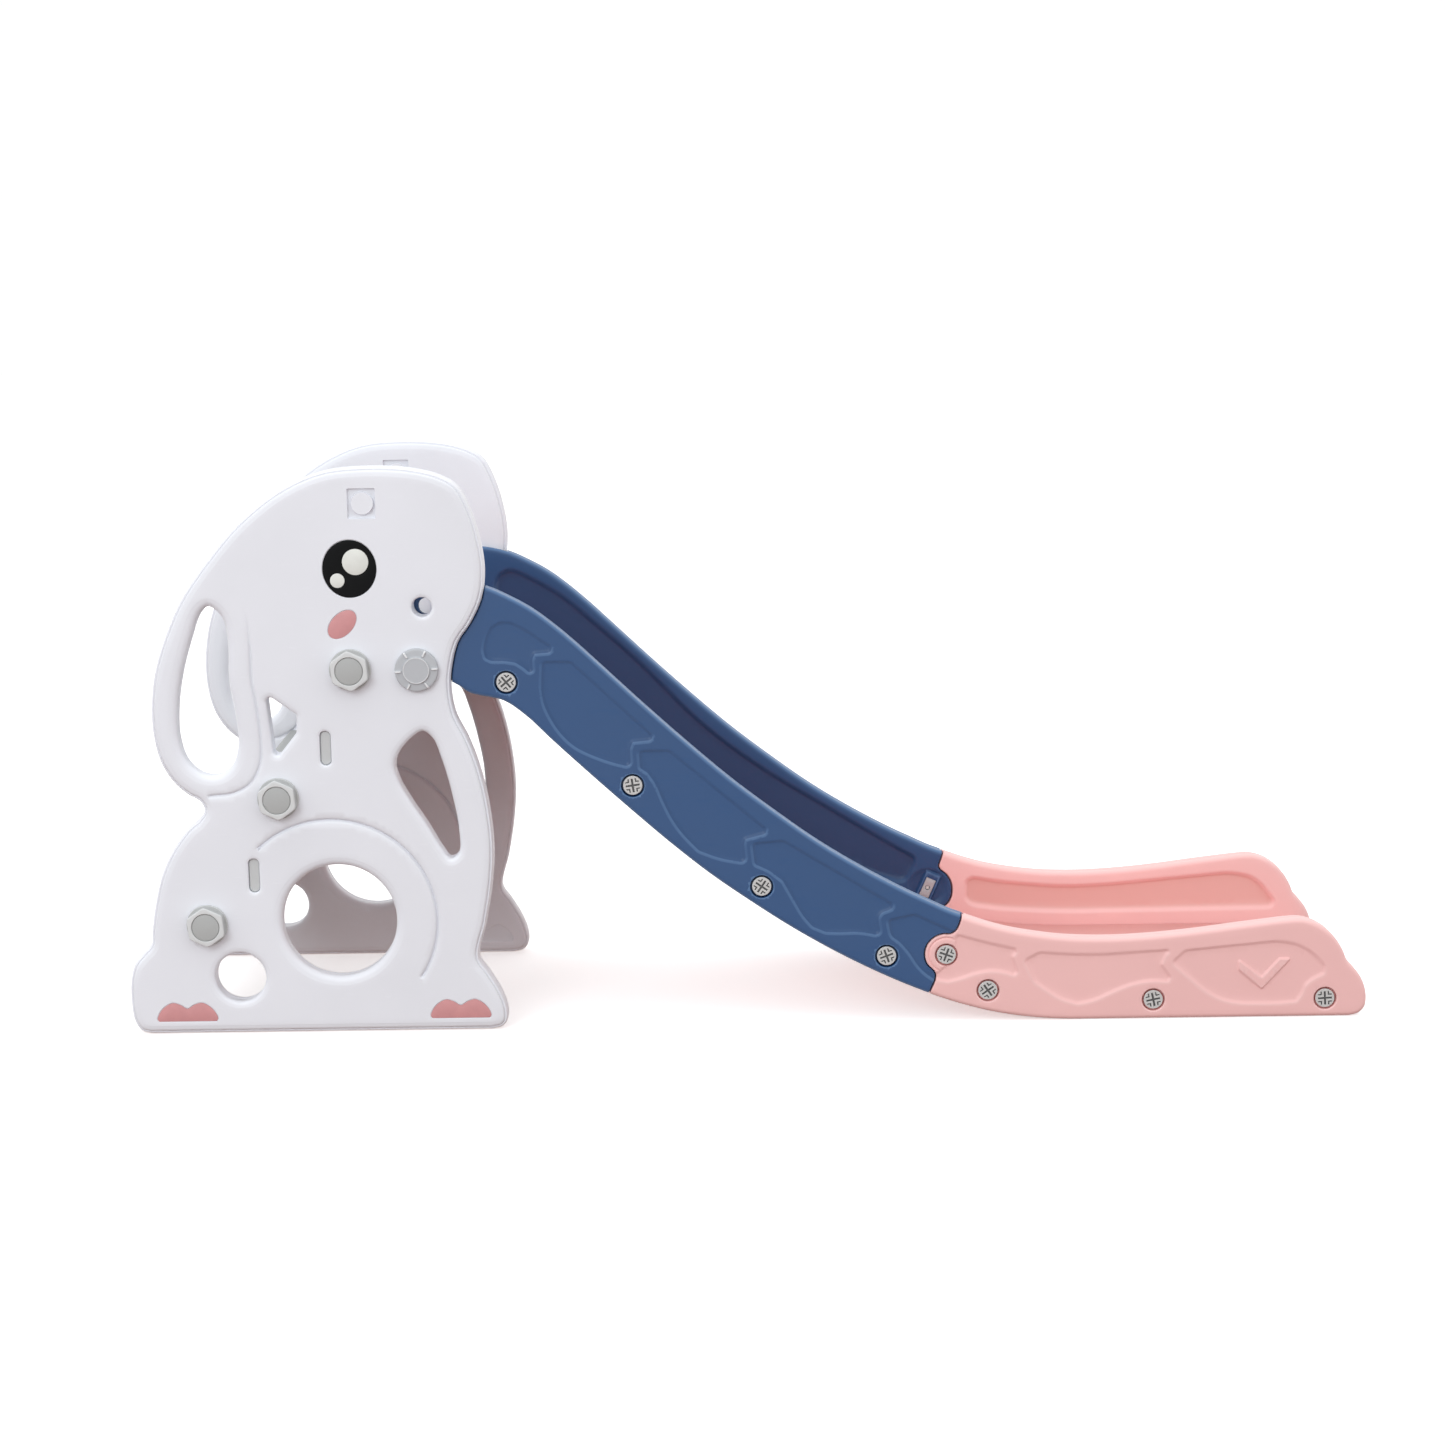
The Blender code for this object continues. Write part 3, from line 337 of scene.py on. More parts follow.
def rounded(corners, steps=6):
    """Polygon whose corners (x, z, radius) are rounded with arcs of the given steps."""
    loop = []
    for index, (x, z, radius) in enumerate(corners):
        corner = Vector((x, z))
        before = (Vector(corners[index - 1][:2]) - corner).normalized()
        after = (Vector(corners[(index + 1) % len(corners)][:2]) - corner).normalized()
        half = before.angle(after) / 2
        middle = corner + (before + after).normalized() * radius / math.sin(half)
        first = corner + before * radius / math.tan(half) - middle
        last = corner + after * radius / math.tan(half) - middle
        for mix in (step / steps for step in range(steps + 1)):
            spoke = (first * (1 - mix) + last * mix).normalized() * radius
            loop.append(tuple(middle + spoke))
    return np.array(loop)


def bends(loop):
    """Steps to and from each point of a closed line, and the angle that it turns by there."""
    before, after = loop - np.roll(loop, 1, 0), np.roll(loop, -1, 0) - loop
    cross = before[:, 0] * after[:, 1] - before[:, 1] * after[:, 0]
    return before, after, np.abs(np.arctan2(cross, (before * after).sum(1)))


def eased(loop, sharp=4.0):
    """Outline with its gentle corners smoothed away and its sharp ones rounded."""
    loop = np.array(loop, float)
    loop = loop[bends(loop)[2] > STRAIGHT_BEND]
    before, after, bend = bends(loop)
    reach = 0.48 * np.minimum(np.hypot(*before.T), np.hypot(*after.T))
    limit = np.where(bend > SHARP_BEND, sharp, np.where(bend > GENTLE_BEND, 3 * sharp, 1e6))
    return rounded(np.column_stack((loop, np.minimum(reach / np.tan(bend / 2), limit))), 5)


def rectangle(x, z, width, height, radius, tilt=0.0):
    """Rectangle about (x, z) with round corners, turned by tilt degrees."""
    w, h = width / 2, height / 2
    corners = [(-w, -h, radius), (w, -h, radius), (w, h, radius), (-w, h, radius)]
    return tilted(rounded(corners), x, z, tilt)


def shifted(line, distance, closed=True):
    """Line moved along its left normals."""
    line = np.asarray(line, float)
    ahead = np.roll(line, -1, 0) - np.roll(line, 1, 0)
    if not closed:
        ahead[0] = line[1] - line[0]
        ahead[-1] = line[-1] - line[-2]
    ahead /= np.maximum(np.hypot(ahead[:, 0], ahead[:, 1]), 1e-9)[:, None]
    return line + np.column_stack((-ahead[:, 1], ahead[:, 0])) * distance


def spread(line, width, shares, closed=True):
    """Lines beside a line, at shares of a width."""
    return [shifted(line, width * share, closed) for share in shares]


def turning(loop):
    """1 for a loop that runs anticlockwise, otherwise -1."""
    after = np.roll(loop, -1, 0)
    area = (loop[:, 0] * after[:, 1] - after[:, 0] * loop[:, 1]).sum()
    return 1.0 if area > 0 else -1.0


def inward_signs(loops):
    """Side of the material along an outline and its holes: 1 for the left, -1 for the right."""
    return [turning(loops[0])] + [-turning(hole) for hole in loops[1:]]


def distance(points, line, closed=True):
    """Distance of each point from a line."""
    line = np.asarray(line, float)
    start = line if closed else line[:-1]
    step = (np.roll(line, -1, 0) if closed else line[1:]) - start
    square = np.maximum((step ** 2).sum(1), 1e-12)
    best = np.empty(len(points))
    for low in range(0, len(points), CHUNK):
        reach = points[low:low + CHUNK, None] - start
        share = np.clip((reach * step).sum(2) / square, 0, 1)
        away = reach - share[..., None] * step
        best[low:low + CHUNK] = np.sqrt((away ** 2).sum(2).min(1))
    return best


def within(points, loop):
    """Whether each point lies inside a loop."""
    start = np.asarray(loop, float)
    end = np.roll(start, -1, 0)
    rise = np.where(end[:, 1] == start[:, 1], 1e-9, end[:, 1] - start[:, 1])
    inside = np.empty(len(points), bool)
    for low in range(0, len(points), CHUNK):
        x, z = points[low:low + CHUNK, 0, None], points[low:low + CHUNK, 1, None]
        spans = (start[:, 1] > z) != (end[:, 1] > z)
        at = start[:, 0] + (z - start[:, 1]) / rise * (end[:, 0] - start[:, 0])
        inside[low:low + CHUNK] = (spans & (x < at)).sum(1) % 2 == 1
    return inside


def near(points, line, reach):
    """Which points lie in the line's box grown by reach."""
    low, high = line.min(0) - reach, line.max(0) + reach
    return ((points > low) & (points < high)).all(1)


def in_material(points, loops):
    """Whether each point lies inside an outline and outside its holes."""
    inside = within(points, loops[0])
    for hole in loops[1:]:
        close = near(points, hole, 1.0)
        inside[close] &= ~within(points[close], hole)
    return inside


def inward(points, loops):
    """Distance in from the nearest edge, capped well inside, and -1 outside the material."""
    best = np.full(len(points), 60.0)
    for loop in loops:
        close = near(points, loop, 20.0)
        best[close] = np.minimum(best[close], distance(points[close], loop))
    return np.where(in_material(points, loops), best, -1.0)


def signed(points, loop, reach=12.0):
    """Distance from a loop, negative inside; points beyond reach read as reach."""
    result = np.full(len(points), reach)
    close = near(points, loop, reach)
    away = distance(points[close], loop)
    result[close] = np.where(within(points[close], loop), -away, np.minimum(away, reach))
    return result


def beside(points, line, reach, closed, value):
    """Value of the distance from a line at the points near it, and 0 elsewhere."""
    result = np.zeros(len(points))
    close = near(points, line, reach)
    result[close] = value(distance(points[close], line, closed))
    return result


def fillet(inset, radius):
    """Drop of a rounded edge at a distance in from the edge."""
    short = np.clip(radius - inset, 0, radius)
    return radius - np.sqrt(np.maximum(radius ** 2 - short ** 2, 0))


def soft_step(away, wall):
    """1 inside and 0 outside an edge, with a smooth wall centred on it."""
    t = np.clip(0.5 - away / wall, 0, 1)
    return t * t * (3 - 2 * t)


def lip_highlight(away, wall):
    """Painted highlight: 1 on the lip along the outside of a wall centred on an edge, falling to 0
    beyond it.
    """
    reach = min(LIP, wall)
    outer = (0.6 * wall + reach - away) / (0.5 * reach)
    return np.clip(np.minimum(away / (0.3 * wall), outer), 0, 1)


def field(loop, depth, wall=FIELD_WALL, islands=(), step=LOOP_STEP):
    """Sunk field with soft walls, and islands that stay at the face."""
    loop = dense(loop, step)
    islands = [dense(island, min(step, 2.0)) for island in islands]
    island_wall = min(wall, ISLAND_WALL)

    def sunk(points):
        away = signed(points, loop)
        down = soft_step(away, wall)
        # Painted highlight on the lips of narrow walls, painted stronger below a field, where the
        # wall faces up.
        lip = lip_highlight(away, wall) * (LIP_HIGHLIGHT if wall < INNER_WALL else 0)
        lit = lip > 0
        rise = signed(points[lit] + (0, 0.4), loop) - signed(points[lit] - (0, 0.4), loop)
        lip[lit] *= np.clip(0.7 - 0.5 * rise, 0.4, 1)
        for island in islands:
            away = -signed(points, island)
            down = down * soft_step(away, island_wall)
            lip = np.maximum(lip, LIP_HIGHLIGHT * lip_highlight(away, island_wall))
        return depth * down, lip
    reach = min(LIP, wall)
    lines = spread(loop, -turning(loop), (-0.55 * wall, -0.3 * wall, 0.0, 0.3 * wall, 0.5 * wall,
                                          0.4 * wall + reach, 0.6 * wall + reach))
    for island in islands:
        lines += spread(island, island_wall, (-0.5, 0.0, 0.5))
    return sunk, thinned(np.vstack(lines), min(0.7, wall / 6))


def crease(line, half, depth, closed=False, fade=0.1):
    """Rounded groove along a line, that starts gently over the length fade."""
    def profile(away):
        return depth * (0.5 + 0.5 * np.cos(math.pi * np.minimum(away / half, 1)))

    def sunk(points):
        down = beside(points, line, half, closed, profile)
        if not closed:
            down *= np.clip(np.hypot(*(points - line[0]).T) / fade, 0, 1)
        return down, np.zeros(len(points))
    lines = spread(line, half, (-1.1, -0.7, -0.35, 0, 0.35, 0.7, 1.1), closed)
    ends = [circle(*line[index], half * 1.05, 10) for index in (0, -1) if not closed]
    return sunk, np.vstack(lines + ends)


def rolled(line, radius=SEAM_RIM):
    """Rounded edge along a cut line, with a painted highlight mark that rises onto the edge."""
    def sunk(points):
        down = beside(points, line, radius, False, lambda away: fillet(away, radius))
        return down, down / radius
    return sunk, np.vstack(spread(line, radius, (-1.1, -0.6, -0.3, -0.1, 0, 0.1, 0.3, 0.6, 1.1),
                                  False))


def thinned(points, cell):
    """Points with at most one in each cell of a grid."""
    _, first = np.unique(np.round(points / cell).astype(int), axis=0, return_index=True)
    return points[np.sort(first)]


def added(taken, points, gap):
    """Points already taken, and then those of the others that keep a gap from them."""
    tree = KDTree(len(taken))
    for index, (x, z) in enumerate(taken):
        tree.insert((x, z, 0), index)
    tree.balance()
    keep = [tree.find((x, z, 0))[2] > gap for x, z in points]
    return np.vstack((taken, points[np.array(keep, bool)]))


def relief_at(points, relief):
    """Depth of the deepest recess at each point, and the painted highlight near its lip."""
    deep, edge = np.zeros(len(points)), np.zeros(len(points))
    for sunk, _ in relief:
        down, lip = sunk(points)
        deep = np.maximum(deep, down)
        edge = np.maximum(edge, lip)
    return deep, edge


def numbered(loops):
    """Indices of each loop's points, with the loops one after another."""
    ends = np.cumsum([0] + [len(loop) for loop in loops])
    return [np.arange(first, last) for first, last in zip(ends, ends[1:])]


def triangulated(flat, rings):
    """Triangles between side-view points that keep the edges of the closed rings."""
    borders = [edge for ring in rings for edge in zip(ring.tolist(), np.roll(ring, -1).tolist())]
    made = delaunay_2d_cdt([Vector(point) for point in flat], borders, [], 0, 1e-7, False)
    if len(made[0]) != len(flat):
        raise ValueError("points of a shape coincide")
    return np.array(made[2])


def walls(rows):
    """Quads between closed rows of point indices."""
    return [quad for upper, lower in zip(rows, rows[1:])
            for quad in zip(upper, lower, np.roll(lower, -1), np.roll(upper, -1))]


def at_depth(flat, depth):
    """Side-view points with their depth across the slide."""
    return np.column_stack((flat, np.broadcast_to(depth, len(flat))))


def plate_points(loops, radii, relief, spacing, border):
    """Points of a plate: its loops, their rounded edges, its relief and a staggered grid."""
    rings = []
    for loop, radius, side in zip(loops, radii, inward_signs(loops)):
        insets = [radius * (1 - math.cos(math.pi / 2 * step / EDGE_STEPS))
                  for step in range(1, EDGE_STEPS + 1)]
        if border:
            insets += [radius + BORDER_WALL * share for share in (0.35, 0.7, 1.1)]
        for inset in insets:
            ring = shifted(loop, side * inset)
            rings.append(ring[np.abs(inward(ring, loops) - inset) < 0.04 * radius + 0.02])
    flat = np.vstack(loops)
    flat = added(flat, thinned(np.vstack(rings), 0.12), 0.03)
    lines = thinned(np.vstack([line for _, line in relief]), 0.08)
    flat = added(flat, lines[inward(lines, loops) > 0.5], 0.25)
    low, high = loops[0].min(0), loops[0].max(0)
    grid = np.stack(np.meshgrid(np.arange(low[0], high[0], spacing),
                                np.arange(low[1], high[1], spacing)), -1).reshape(-1, 2)
    grid[:, 0] += (np.round((grid[:, 1] - low[1]) / spacing) % 2) * spacing / 2
    return added(flat, grid[inward(grid, loops) > min(3.0, spacing / 2)], spacing * 0.55)


def plate(edges, back, front, front_relief=(), back_relief=(), spacing=6.0, border=0.0):
    """Closed moulded plate as (x, z, depth) points, faces and marks.

    edges holds (points, edge radius) of the outline and then of each hole; the rounded edges
    lie lower than the face by border. Marks are a painted highlight near edges, field lips and the
    parting line, and the depth of each recess, which the materials paint as shade.
    """
    loops, radii = zip(*edges)
    flat = plate_points(loops, radii, [*front_relief, *back_relief], spacing, border)
    rings = numbered(loops)
    count = len(flat)
    triangles = triangulated(flat, rings)
    between = (triangles < len(np.vstack(loops))).all(1)
    keep = np.ones(len(triangles), bool)
    keep[between] = inward(flat[triangles[between]].mean(1), loops) > 0.01
    triangles = triangles[keep]
    drop, rim = np.zeros((2, count))
    for loop, radius, ring in zip(loops, radii, rings):
        close = near(flat, loop, radius + BORDER_WALL)
        away = distance(flat[close], loop)
        down = fillet(away, radius) + border * soft_step(away - radius - BORDER_WALL / 2,
                                                         BORDER_WALL)
        drop[close] = np.maximum(drop[close], down)
        drop[ring] = radius + border
        # Painted highlight: rim mark rising towards each rounded edge.
        rim[close] = np.maximum(rim[close], 1 - np.clip(away / radius, 0, 1))
    front_down, front_highlight = relief_at(flat, front_relief)
    back_down, back_highlight = relief_at(flat, back_relief)
    points = [at_depth(flat, front - drop - front_down), at_depth(flat, back + drop + back_down)]
    faces = [*triangles, *(triangles[:, ::-1] + count)]
    total = 2 * count
    for loop, radius, ring, side in zip(loops, radii, rings, inward_signs(loops)):
        rows = [ring]
        if (front - back) / 2 - radius - border > PARTING_HALF * 1.5 and len(loop) > 30:
            for lift, inset in ((PARTING_HALF, 0), (0, PARTING_INSET), (-PARTING_HALF, 0)):
                points.append(at_depth(shifted(loop, side * inset), (front + back) / 2 + lift))
                rows.append(np.arange(total, total + len(loop)))
                total += len(loop)
        faces += walls(rows + [ring + count])
    parting = np.zeros(total - 2 * count)
    # Painted highlight also on the field lips and along the whole parting line.
    rim = np.concatenate((np.maximum(rim, 0.8 * front_highlight), np.maximum(rim, 0.8 * back_highlight),
                          parting + 1))
    recess = np.concatenate((front_down, back_down, parting))
    return np.vstack(points), faces, np.column_stack((rim, recess))


def slab(loops, back, front, edge=0.6, steps=2):
    """Plain extrusion of side-view loops with lightly rounded ends."""
    signs, rings = inward_signs(loops), numbered(loops)
    turns = np.linspace(0, math.pi / 2, steps + 1) if edge else [0]
    ends = [(edge * (1 - math.cos(turn)), edge * (1 - math.sin(turn))) for turn in turns]
    rows = [(inset, front - drop) for inset, drop in ends[::-1]]
    rows += [(inset, back + drop) for inset, drop in ends]
    points, faces = [], []
    for loop, sign, ring in zip(loops, signs, rings):
        points += [at_depth(shifted(loop, sign * inset), depth) for inset, depth in rows]
        first = len(rows) * ring[0] + np.arange(len(loop))
        faces += walls([first + row * len(loop) for row in range(len(rows))])
    for row in (0, len(rows) - 1):
        cap = [shifted(loop, sign * rows[row][0]) for loop, sign in zip(loops, signs)]
        flat = np.vstack(cap)
        index = np.concatenate([ring + (len(rows) - 1) * ring[0] + row * len(ring)
                                for ring in rings])
        triangles = triangulated(flat, rings)
        faces += [*index[triangles[in_material(flat[triangles].mean(1), cap)]]]
    points = np.vstack(points)
    return points, faces, np.zeros((len(points), 2))


def turned(profile, count=48):
    """Solid turned about the depth axis from (radius, depth, painted highlight mark) points.

    Each value may be a function of the angle; the first and last points lie on the axis.
    """
    ring = np.arange(count)
    turn = ring * math.tau / count
    points, marks = [(0.0, 0.0, profile[0][1])], [0.0]
    for given in profile[1:-1]:
        radii, depths, edges = (
            value(turn) if callable(value) else np.full(count, float(value))
            for value in (tuple(given) + (0.0,))[:3])
        points += zip(radii * np.cos(turn), radii * np.sin(turn), depths)
        marks += list(edges)
    points.append((0.0, 0.0, profile[-1][1]))
    rows = [1 + row * count + ring for row in range(len(profile) - 2)]
    faces = [*zip(0 * ring, rows[0], np.roll(rows[0], -1))] + walls(rows)
    faces += zip(0 * ring + len(points) - 1, np.roll(rows[-1], -1), rows[-1])
    return np.array(points), faces, np.column_stack((marks + [0.0], np.zeros(len(points))))


def make_mesh(name, shape, side, fixed=True):
    """Mesh of a shape on one side of the slide, in metres."""
    points, faces, marks = shape
    offset = X_MIDDLE if fixed else 0.0
    world = np.column_stack((points[:, 0] - offset, side * points[:, 2], points[:, 1])) * MM
    mesh = bpy.data.meshes.new(name)
    mesh.from_pydata(world.tolist(), [], [tuple(int(i) for i in face) for face in faces])
    for kind, column in zip(MARKS, marks.T):
        mask = mesh.attributes.new(kind, "FLOAT", "POINT")
        mask.data.foreach_set("value", column.astype(np.float32))
    clean = bmesh.new()
    clean.from_mesh(mesh)
    bmesh.ops.recalc_face_normals(clean, faces=clean.faces)
    clean.to_mesh(mesh)
    clean.free()
    return mesh


def linked(name, data):
    """New object in the scene."""
    obj = bpy.data.objects.new(name, data)
    bpy.context.scene.collection.objects.link(obj)
    return obj


def put(name, mesh, surface, replaces=None, body=BODY, location=None, turn=0.0, sharp=38.0):
    """Piece of the slide with its material and body, in place of the solid it stands for."""
    obj = linked(name, mesh)
    mesh.materials.clear()
    mesh.materials.append(SURFACES[surface])
    mesh.shade_smooth()
    mesh.set_sharp_from_angle(angle=math.radians(sharp))
    if location:
        x, depth, z = location
        obj.location = ((x - X_MIDDLE) * MM, depth * MM, z * MM)
        obj.rotation_euler = (0.0, -math.radians(turn), 0.0)
    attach(obj, body)
    if replaces:
        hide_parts(replaces)


def carved(mesh, cutters, operation="DIFFERENCE"):
    """Mesh with other closed meshes cut out of it or joined to it."""
    base = linked("carving", mesh)
    helpers = [linked("carver", cutter) for cutter in cutters]
    for helper in helpers:
        cut = base.modifiers.new("cut", "BOOLEAN")
        cut.operation = operation
        cut.solver = "MANIFOLD"
        cut.object = helper
    graph = bpy.context.evaluated_depsgraph_get()
    result = bpy.data.meshes.new_from_object(base.evaluated_get(graph))
    for obj in helpers + [base]:
        bpy.data.objects.remove(obj, do_unlink=True)
    result.name = mesh.name
    return result


def moved(shape, x, z, depth):
    """Shape moved to (x, z, depth)."""
    points, faces, marks = shape
    return np.column_stack((points[:, :2] + (x, z), points[:, 2] + depth)), faces, marks


def side_loop(*lines):
    """Closed outline from splines through open lines, kept within the slide's length."""
    loop = np.vstack([spline(line) for line in lines])
    loop = dense(loop[(loop != np.roll(loop, 1, 0)).any(1)], LOOP_STEP * 1.4)
    loop[:, 0] = np.clip(loop[:, 0], 0, 2 * X_MIDDLE)
    return loop


def panel_front_edge():
    """Stretch of a panel's front edge that the rail butts against."""
    edge = spline(PANEL_OUTLINE)
    kept = ((edge > BUTT_LOW) & (edge < BUTT_HIGH)).all(1)
    return edge[kept] + (PANEL_CLEARANCE, 0.0)


def toe_outline(centre):
    """Two rounded toes on a flat base."""
    high = TOE_LOBE_TOP - TOE_BASE
    half = [(0, 16.5), (9, 21.5), (18.5, high), (28, 19.5), (35, 12), (TOE_HALF_WIDTH, 3),
            (TOE_HALF_WIDTH - 2, 0)]
    base = [(-x, z) for x, z in half[:0:-1]] + half
    return dense(spline(base, 1.5), 2.0) + (centre, TOE_BASE)


def decal_loops():
    """Outline of each printed decal on a panel."""
    rear, front = (toe_outline(centre) for centre in TOE_CENTRES)
    return {"eye": ellipse(*EYE), "cheek": ellipse(*CHEEK), "rear_toes": rear,
            "front_toes": front}


def tab_loop(label, gap=0.0):
    """Outline of the slot that a riser's tab enters."""
    x, z = STEP_RODS[label]
    width, height = TAB_SLOT
    return rectangle(x + RISER_CENTRE, z + SLOT_BELOW_ROD, width - 2 * gap,
                     height - 2 * gap, 6.6 - gap)


def panel_shape():
    """Side panel with its holes, creases, recesses and slots."""
    outline = side_loop(PANEL_OUTLINE)
    holes = {
        "ear": [spline(EAR_HOLE, closed=True)],
        "leaf": [spline(LEAF_HOLE, closed=True)],
        "wedge": [dense(rounded(WEDGE_HOLE), 2.0)],
        "big": [circle(*BIG_HOLE)],
        "small": [circle(*SMALL_HOLE)],
        "port": [circle(*PORT_HOLE, 40)],
        "slot": [dense(tab_loop(label), 2.0) for label in ("middle", "platform")],
        "rod": [circle(*centre, ROD_RADIUS + GAP, 24)
                for centre in (*STEP_RODS.values(), CHUTE_ROD)],
    }
    edges = [(outline, PANEL_RIM)]
    edges += [(loop, HOLE_RIMS[kind]) for kind, loops in holes.items() for loop in loops]
    relief = [
        crease(shifted(outline, turning(outline) * EDGE_LINE), *EDGE_CREASE, True),
        crease(spline(EAR_GROOVE, 2.5), *EAR_CREASE, fade=EAR_FADE),
        crease(arc(*THIGH_ARC, 160), *THIGH_CREASE),
    ]
    x, z, width, height, depth = SOCKET
    relief.append(field(rectangle(x, z, width, height, 1.0), depth, 0.9,
                        [circle(*SOCKET_DISC, 64)], 1.0))
    prints = [field(shifted(loop, -0.6 * turning(loop)), DECAL_DEPTH, 0.7, (), 1.5)
              for loop in decal_loops().values()]
    blanks = [field(toe_outline(centre), 1.2, 1.6, (), 1.5) for centre in TOE_CENTRES]
    return plate(edges, PANEL_INNER, PANEL_OUTER, relief + prints, relief + blanks,
                 border=BORDER)


def seam_lines(side):
    """Edges of the gap at the rail seams: -1 for the side towards the panels, 1 for the other."""
    return [shifted(spline(seam), side * SEAM_GAP / 2, False) for seam in (OUTER_SEAM, INNER_SEAM)]


def beyond(line, far_x):
    """Area from a line out to far_x."""
    return np.vstack((line, ((far_x, line[-1][1]), (far_x, line[0][1]))))


def screw_bore(x, z):
    """Stepped hole with a rounded mouth for one screw through a rail."""
    sunk = HEAD_SINK + HEAD_THICK + GAP
    seat = HEAD_RADIUS - 1.0
    shank = SHANK_RADIUS + GAP
    bore = HEAD_BORE + 0.3
    # The rounded mouth carries a painted highlight mark.
    mouth = [(bore + 1.5 * (1 - math.sin(turn)), -1.5 * (1 - math.cos(turn)), math.cos(turn))
             for turn in np.linspace(0, math.pi / 2, 5)]
    return moved(turned([(0, 3), (bore + 1.5, 3), *mouth, (bore, -11), (seat, -11),
                         (seat, -sunk), (shank, -sunk), (shank, -32), (0, -32)]),
                 x, z, RAIL_OUTER)


def inner_field(loop):
    """Large sunk field inside a rail."""
    return field(eased(loop, 12), INNER_FIELD_DEPTH + INNER_DEEPER, INNER_WALL)


def rail(lines, front, back, blocks, screws):
    """Rail before it is cut, and its cutters: (loop, back, front) blocks and screw bores."""
    shape = plate([(side_loop(*lines), RAIL_RIM)], RAIL_INNER, RAIL_OUTER, front, back)
    return shape, ([slab([loop], low, high, 0) for loop, low, high in blocks]
                   + [screw_bore(x, z) for x, z in screws])


def upper_rail():
    """Upper rail, and what is cut out of it."""
    x, z = JOINT_SCREW
    edge, (outer, inner) = panel_front_edge(), seam_lines(-1)
    front = [field(eased(loop), FIELD_DEPTH) for loop in UPPER_FIELDS]
    front += [rolled(outer), rolled(edge)]
    boss = rectangle(x + 1.0, z + 2.5, PLATE_WIDTH + 9, PLATE_LENGTH + 12, 1.5, PLATE_TURN)
    back = [inner_field(UPPER_INNER_FIELD),
            field(circle(x, z, BASIN_RADIUS), BASIN_DEPTH, INNER_WALL, [boss], 2.0),
            rolled(inner)]
    pocket = rectangle(x, z, PLATE_WIDTH + 2 * GAP, PLATE_LENGTH + 2 * GAP, 0.8, PLATE_TURN)
    holes = [circle(x, z, SHANK_RADIUS + GAP, 24), circle(*CHUTE_ROD, ROD_RADIUS + GAP, 32),
             circle(*RAIL_PORT, 40)]
    return rail((UPPER_RAIL, UPPER_RAIL_TOP), front, back, [
        (beyond(edge, BUTT_FAR), PANEL_INNER - GAP, OUTSIDE),
        (beyond(outer, UPPER_FAR[0]), LAP_PLANE - GAP / 2, OUTSIDE),
        (beyond(inner, UPPER_FAR[1]), INSIDE, LAP_PLANE + 2),
        (pocket, INSIDE, RAIL_INNER + PLATE_POCKET),
        *((hole, INSIDE, RAIL_OUTER) for hole in holes),
    ], UPPER_SCREWS)


def lower_rail():
    """Lower rail, and what is cut out of it."""
    outer, inner = seam_lines(1)
    front = [field(eased(loop), FIELD_DEPTH) for loop in LOWER_FIELDS[:-1]]
    front += [field(eased(LOWER_FIELDS[-1]), FIELD_DEPTH, FIELD_WALL, [eased(CHECK_MARK, 1.5)]),
              crease(circle(*JOINT_SCREW, JOINT_RING, 96), 1.9, 1.3, True),
              rolled(outer)]
    back = [inner_field(LOWER_INNER_FIELD), rolled(inner)]
    return rail((LOWER_RAIL_BOTTOM, LOWER_RAIL_END, LOWER_RAIL_TOP), front, back, [
        (beyond(outer, LOWER_FAR[0]), LAP_PLANE - 2, OUTSIDE),
        (beyond(inner, LOWER_FAR[1]), INSIDE, LAP_PLANE + GAP / 2),
    ], LOWER_SCREWS + [JOINT_SCREW])


def nut_plate_shape():
    """Square nut plate behind a rail joint."""
    start = RAIL_INNER + PLATE_POCKET - GAP - PLATE_THICK
    loops = [rectangle(*JOINT_SCREW, PLATE_WIDTH, PLATE_LENGTH, 0.8, PLATE_TURN),
             circle(*JOINT_SCREW, SHANK_RADIUS + GAP, 32)]
    return slab(loops, start, start + PLATE_THICK, 0.4)


def step_loop(label):
    """Side view of a tread with anti-slip grooves, and its riser."""
    rod_x, rod_z = STEP_RODS[label]
    top, bottom = rod_z + STEP_TOP, rod_z + STEP_BOTTOM
    left = rod_x + TREAD_BACK
    right = rod_x + (PLATFORM_FRONT if label == "platform" else TREAD_FRONT)
    if label == "lower":
        corners = [(left, bottom, 6)]
    else:
        low = rod_z + SLOT_BELOW_ROD - TAB_SLOT[1] / 2 - 3
        corners = [(left, low, 5), (left + RISER_THICK, low, 5),
                   (left + RISER_THICK, bottom, 6)]
    corners += [(right, bottom, 9), (right, top, 8)]
    for middle in (rod_x + offset for offset in TREAD_GROOVES):
        corners += [(middle + 4, top, 1.2), (middle + 2.6, top - 2, 1.0),
                    (middle - 2.6, top - 2, 1.0), (middle - 4, top, 1.2)]
    return rounded(corners + [(left, top, 8)], 5)


def step_mesh(label):
    """Tread joined with the bar whose ends enter the panels."""
    bore = circle(*STEP_RODS[label], ROD_RADIUS + GAP, 32)
    half = PANEL_INNER - GAP
    tread = make_mesh(label, slab([step_loop(label), bore], -half, half, 1.0, 3), 1)
    if label == "lower":
        return tread
    reach = TAB_REACH - TAB_SHORTER
    points, faces, marks = slab([tab_loop(label, GAP)], -reach, reach, 1.6, 4)
    # Painted light: the tab ends in the panel slots take part of the paler edge colour to lighten
    # their shade.
    marks[:, 0] = TAB_PAINTED_LIGHT * (np.abs(points[:, 2]) > PANEL_INNER)
    return carved(tread, [make_mesh("bar", (points, faces, marks), 1)], "UNION")


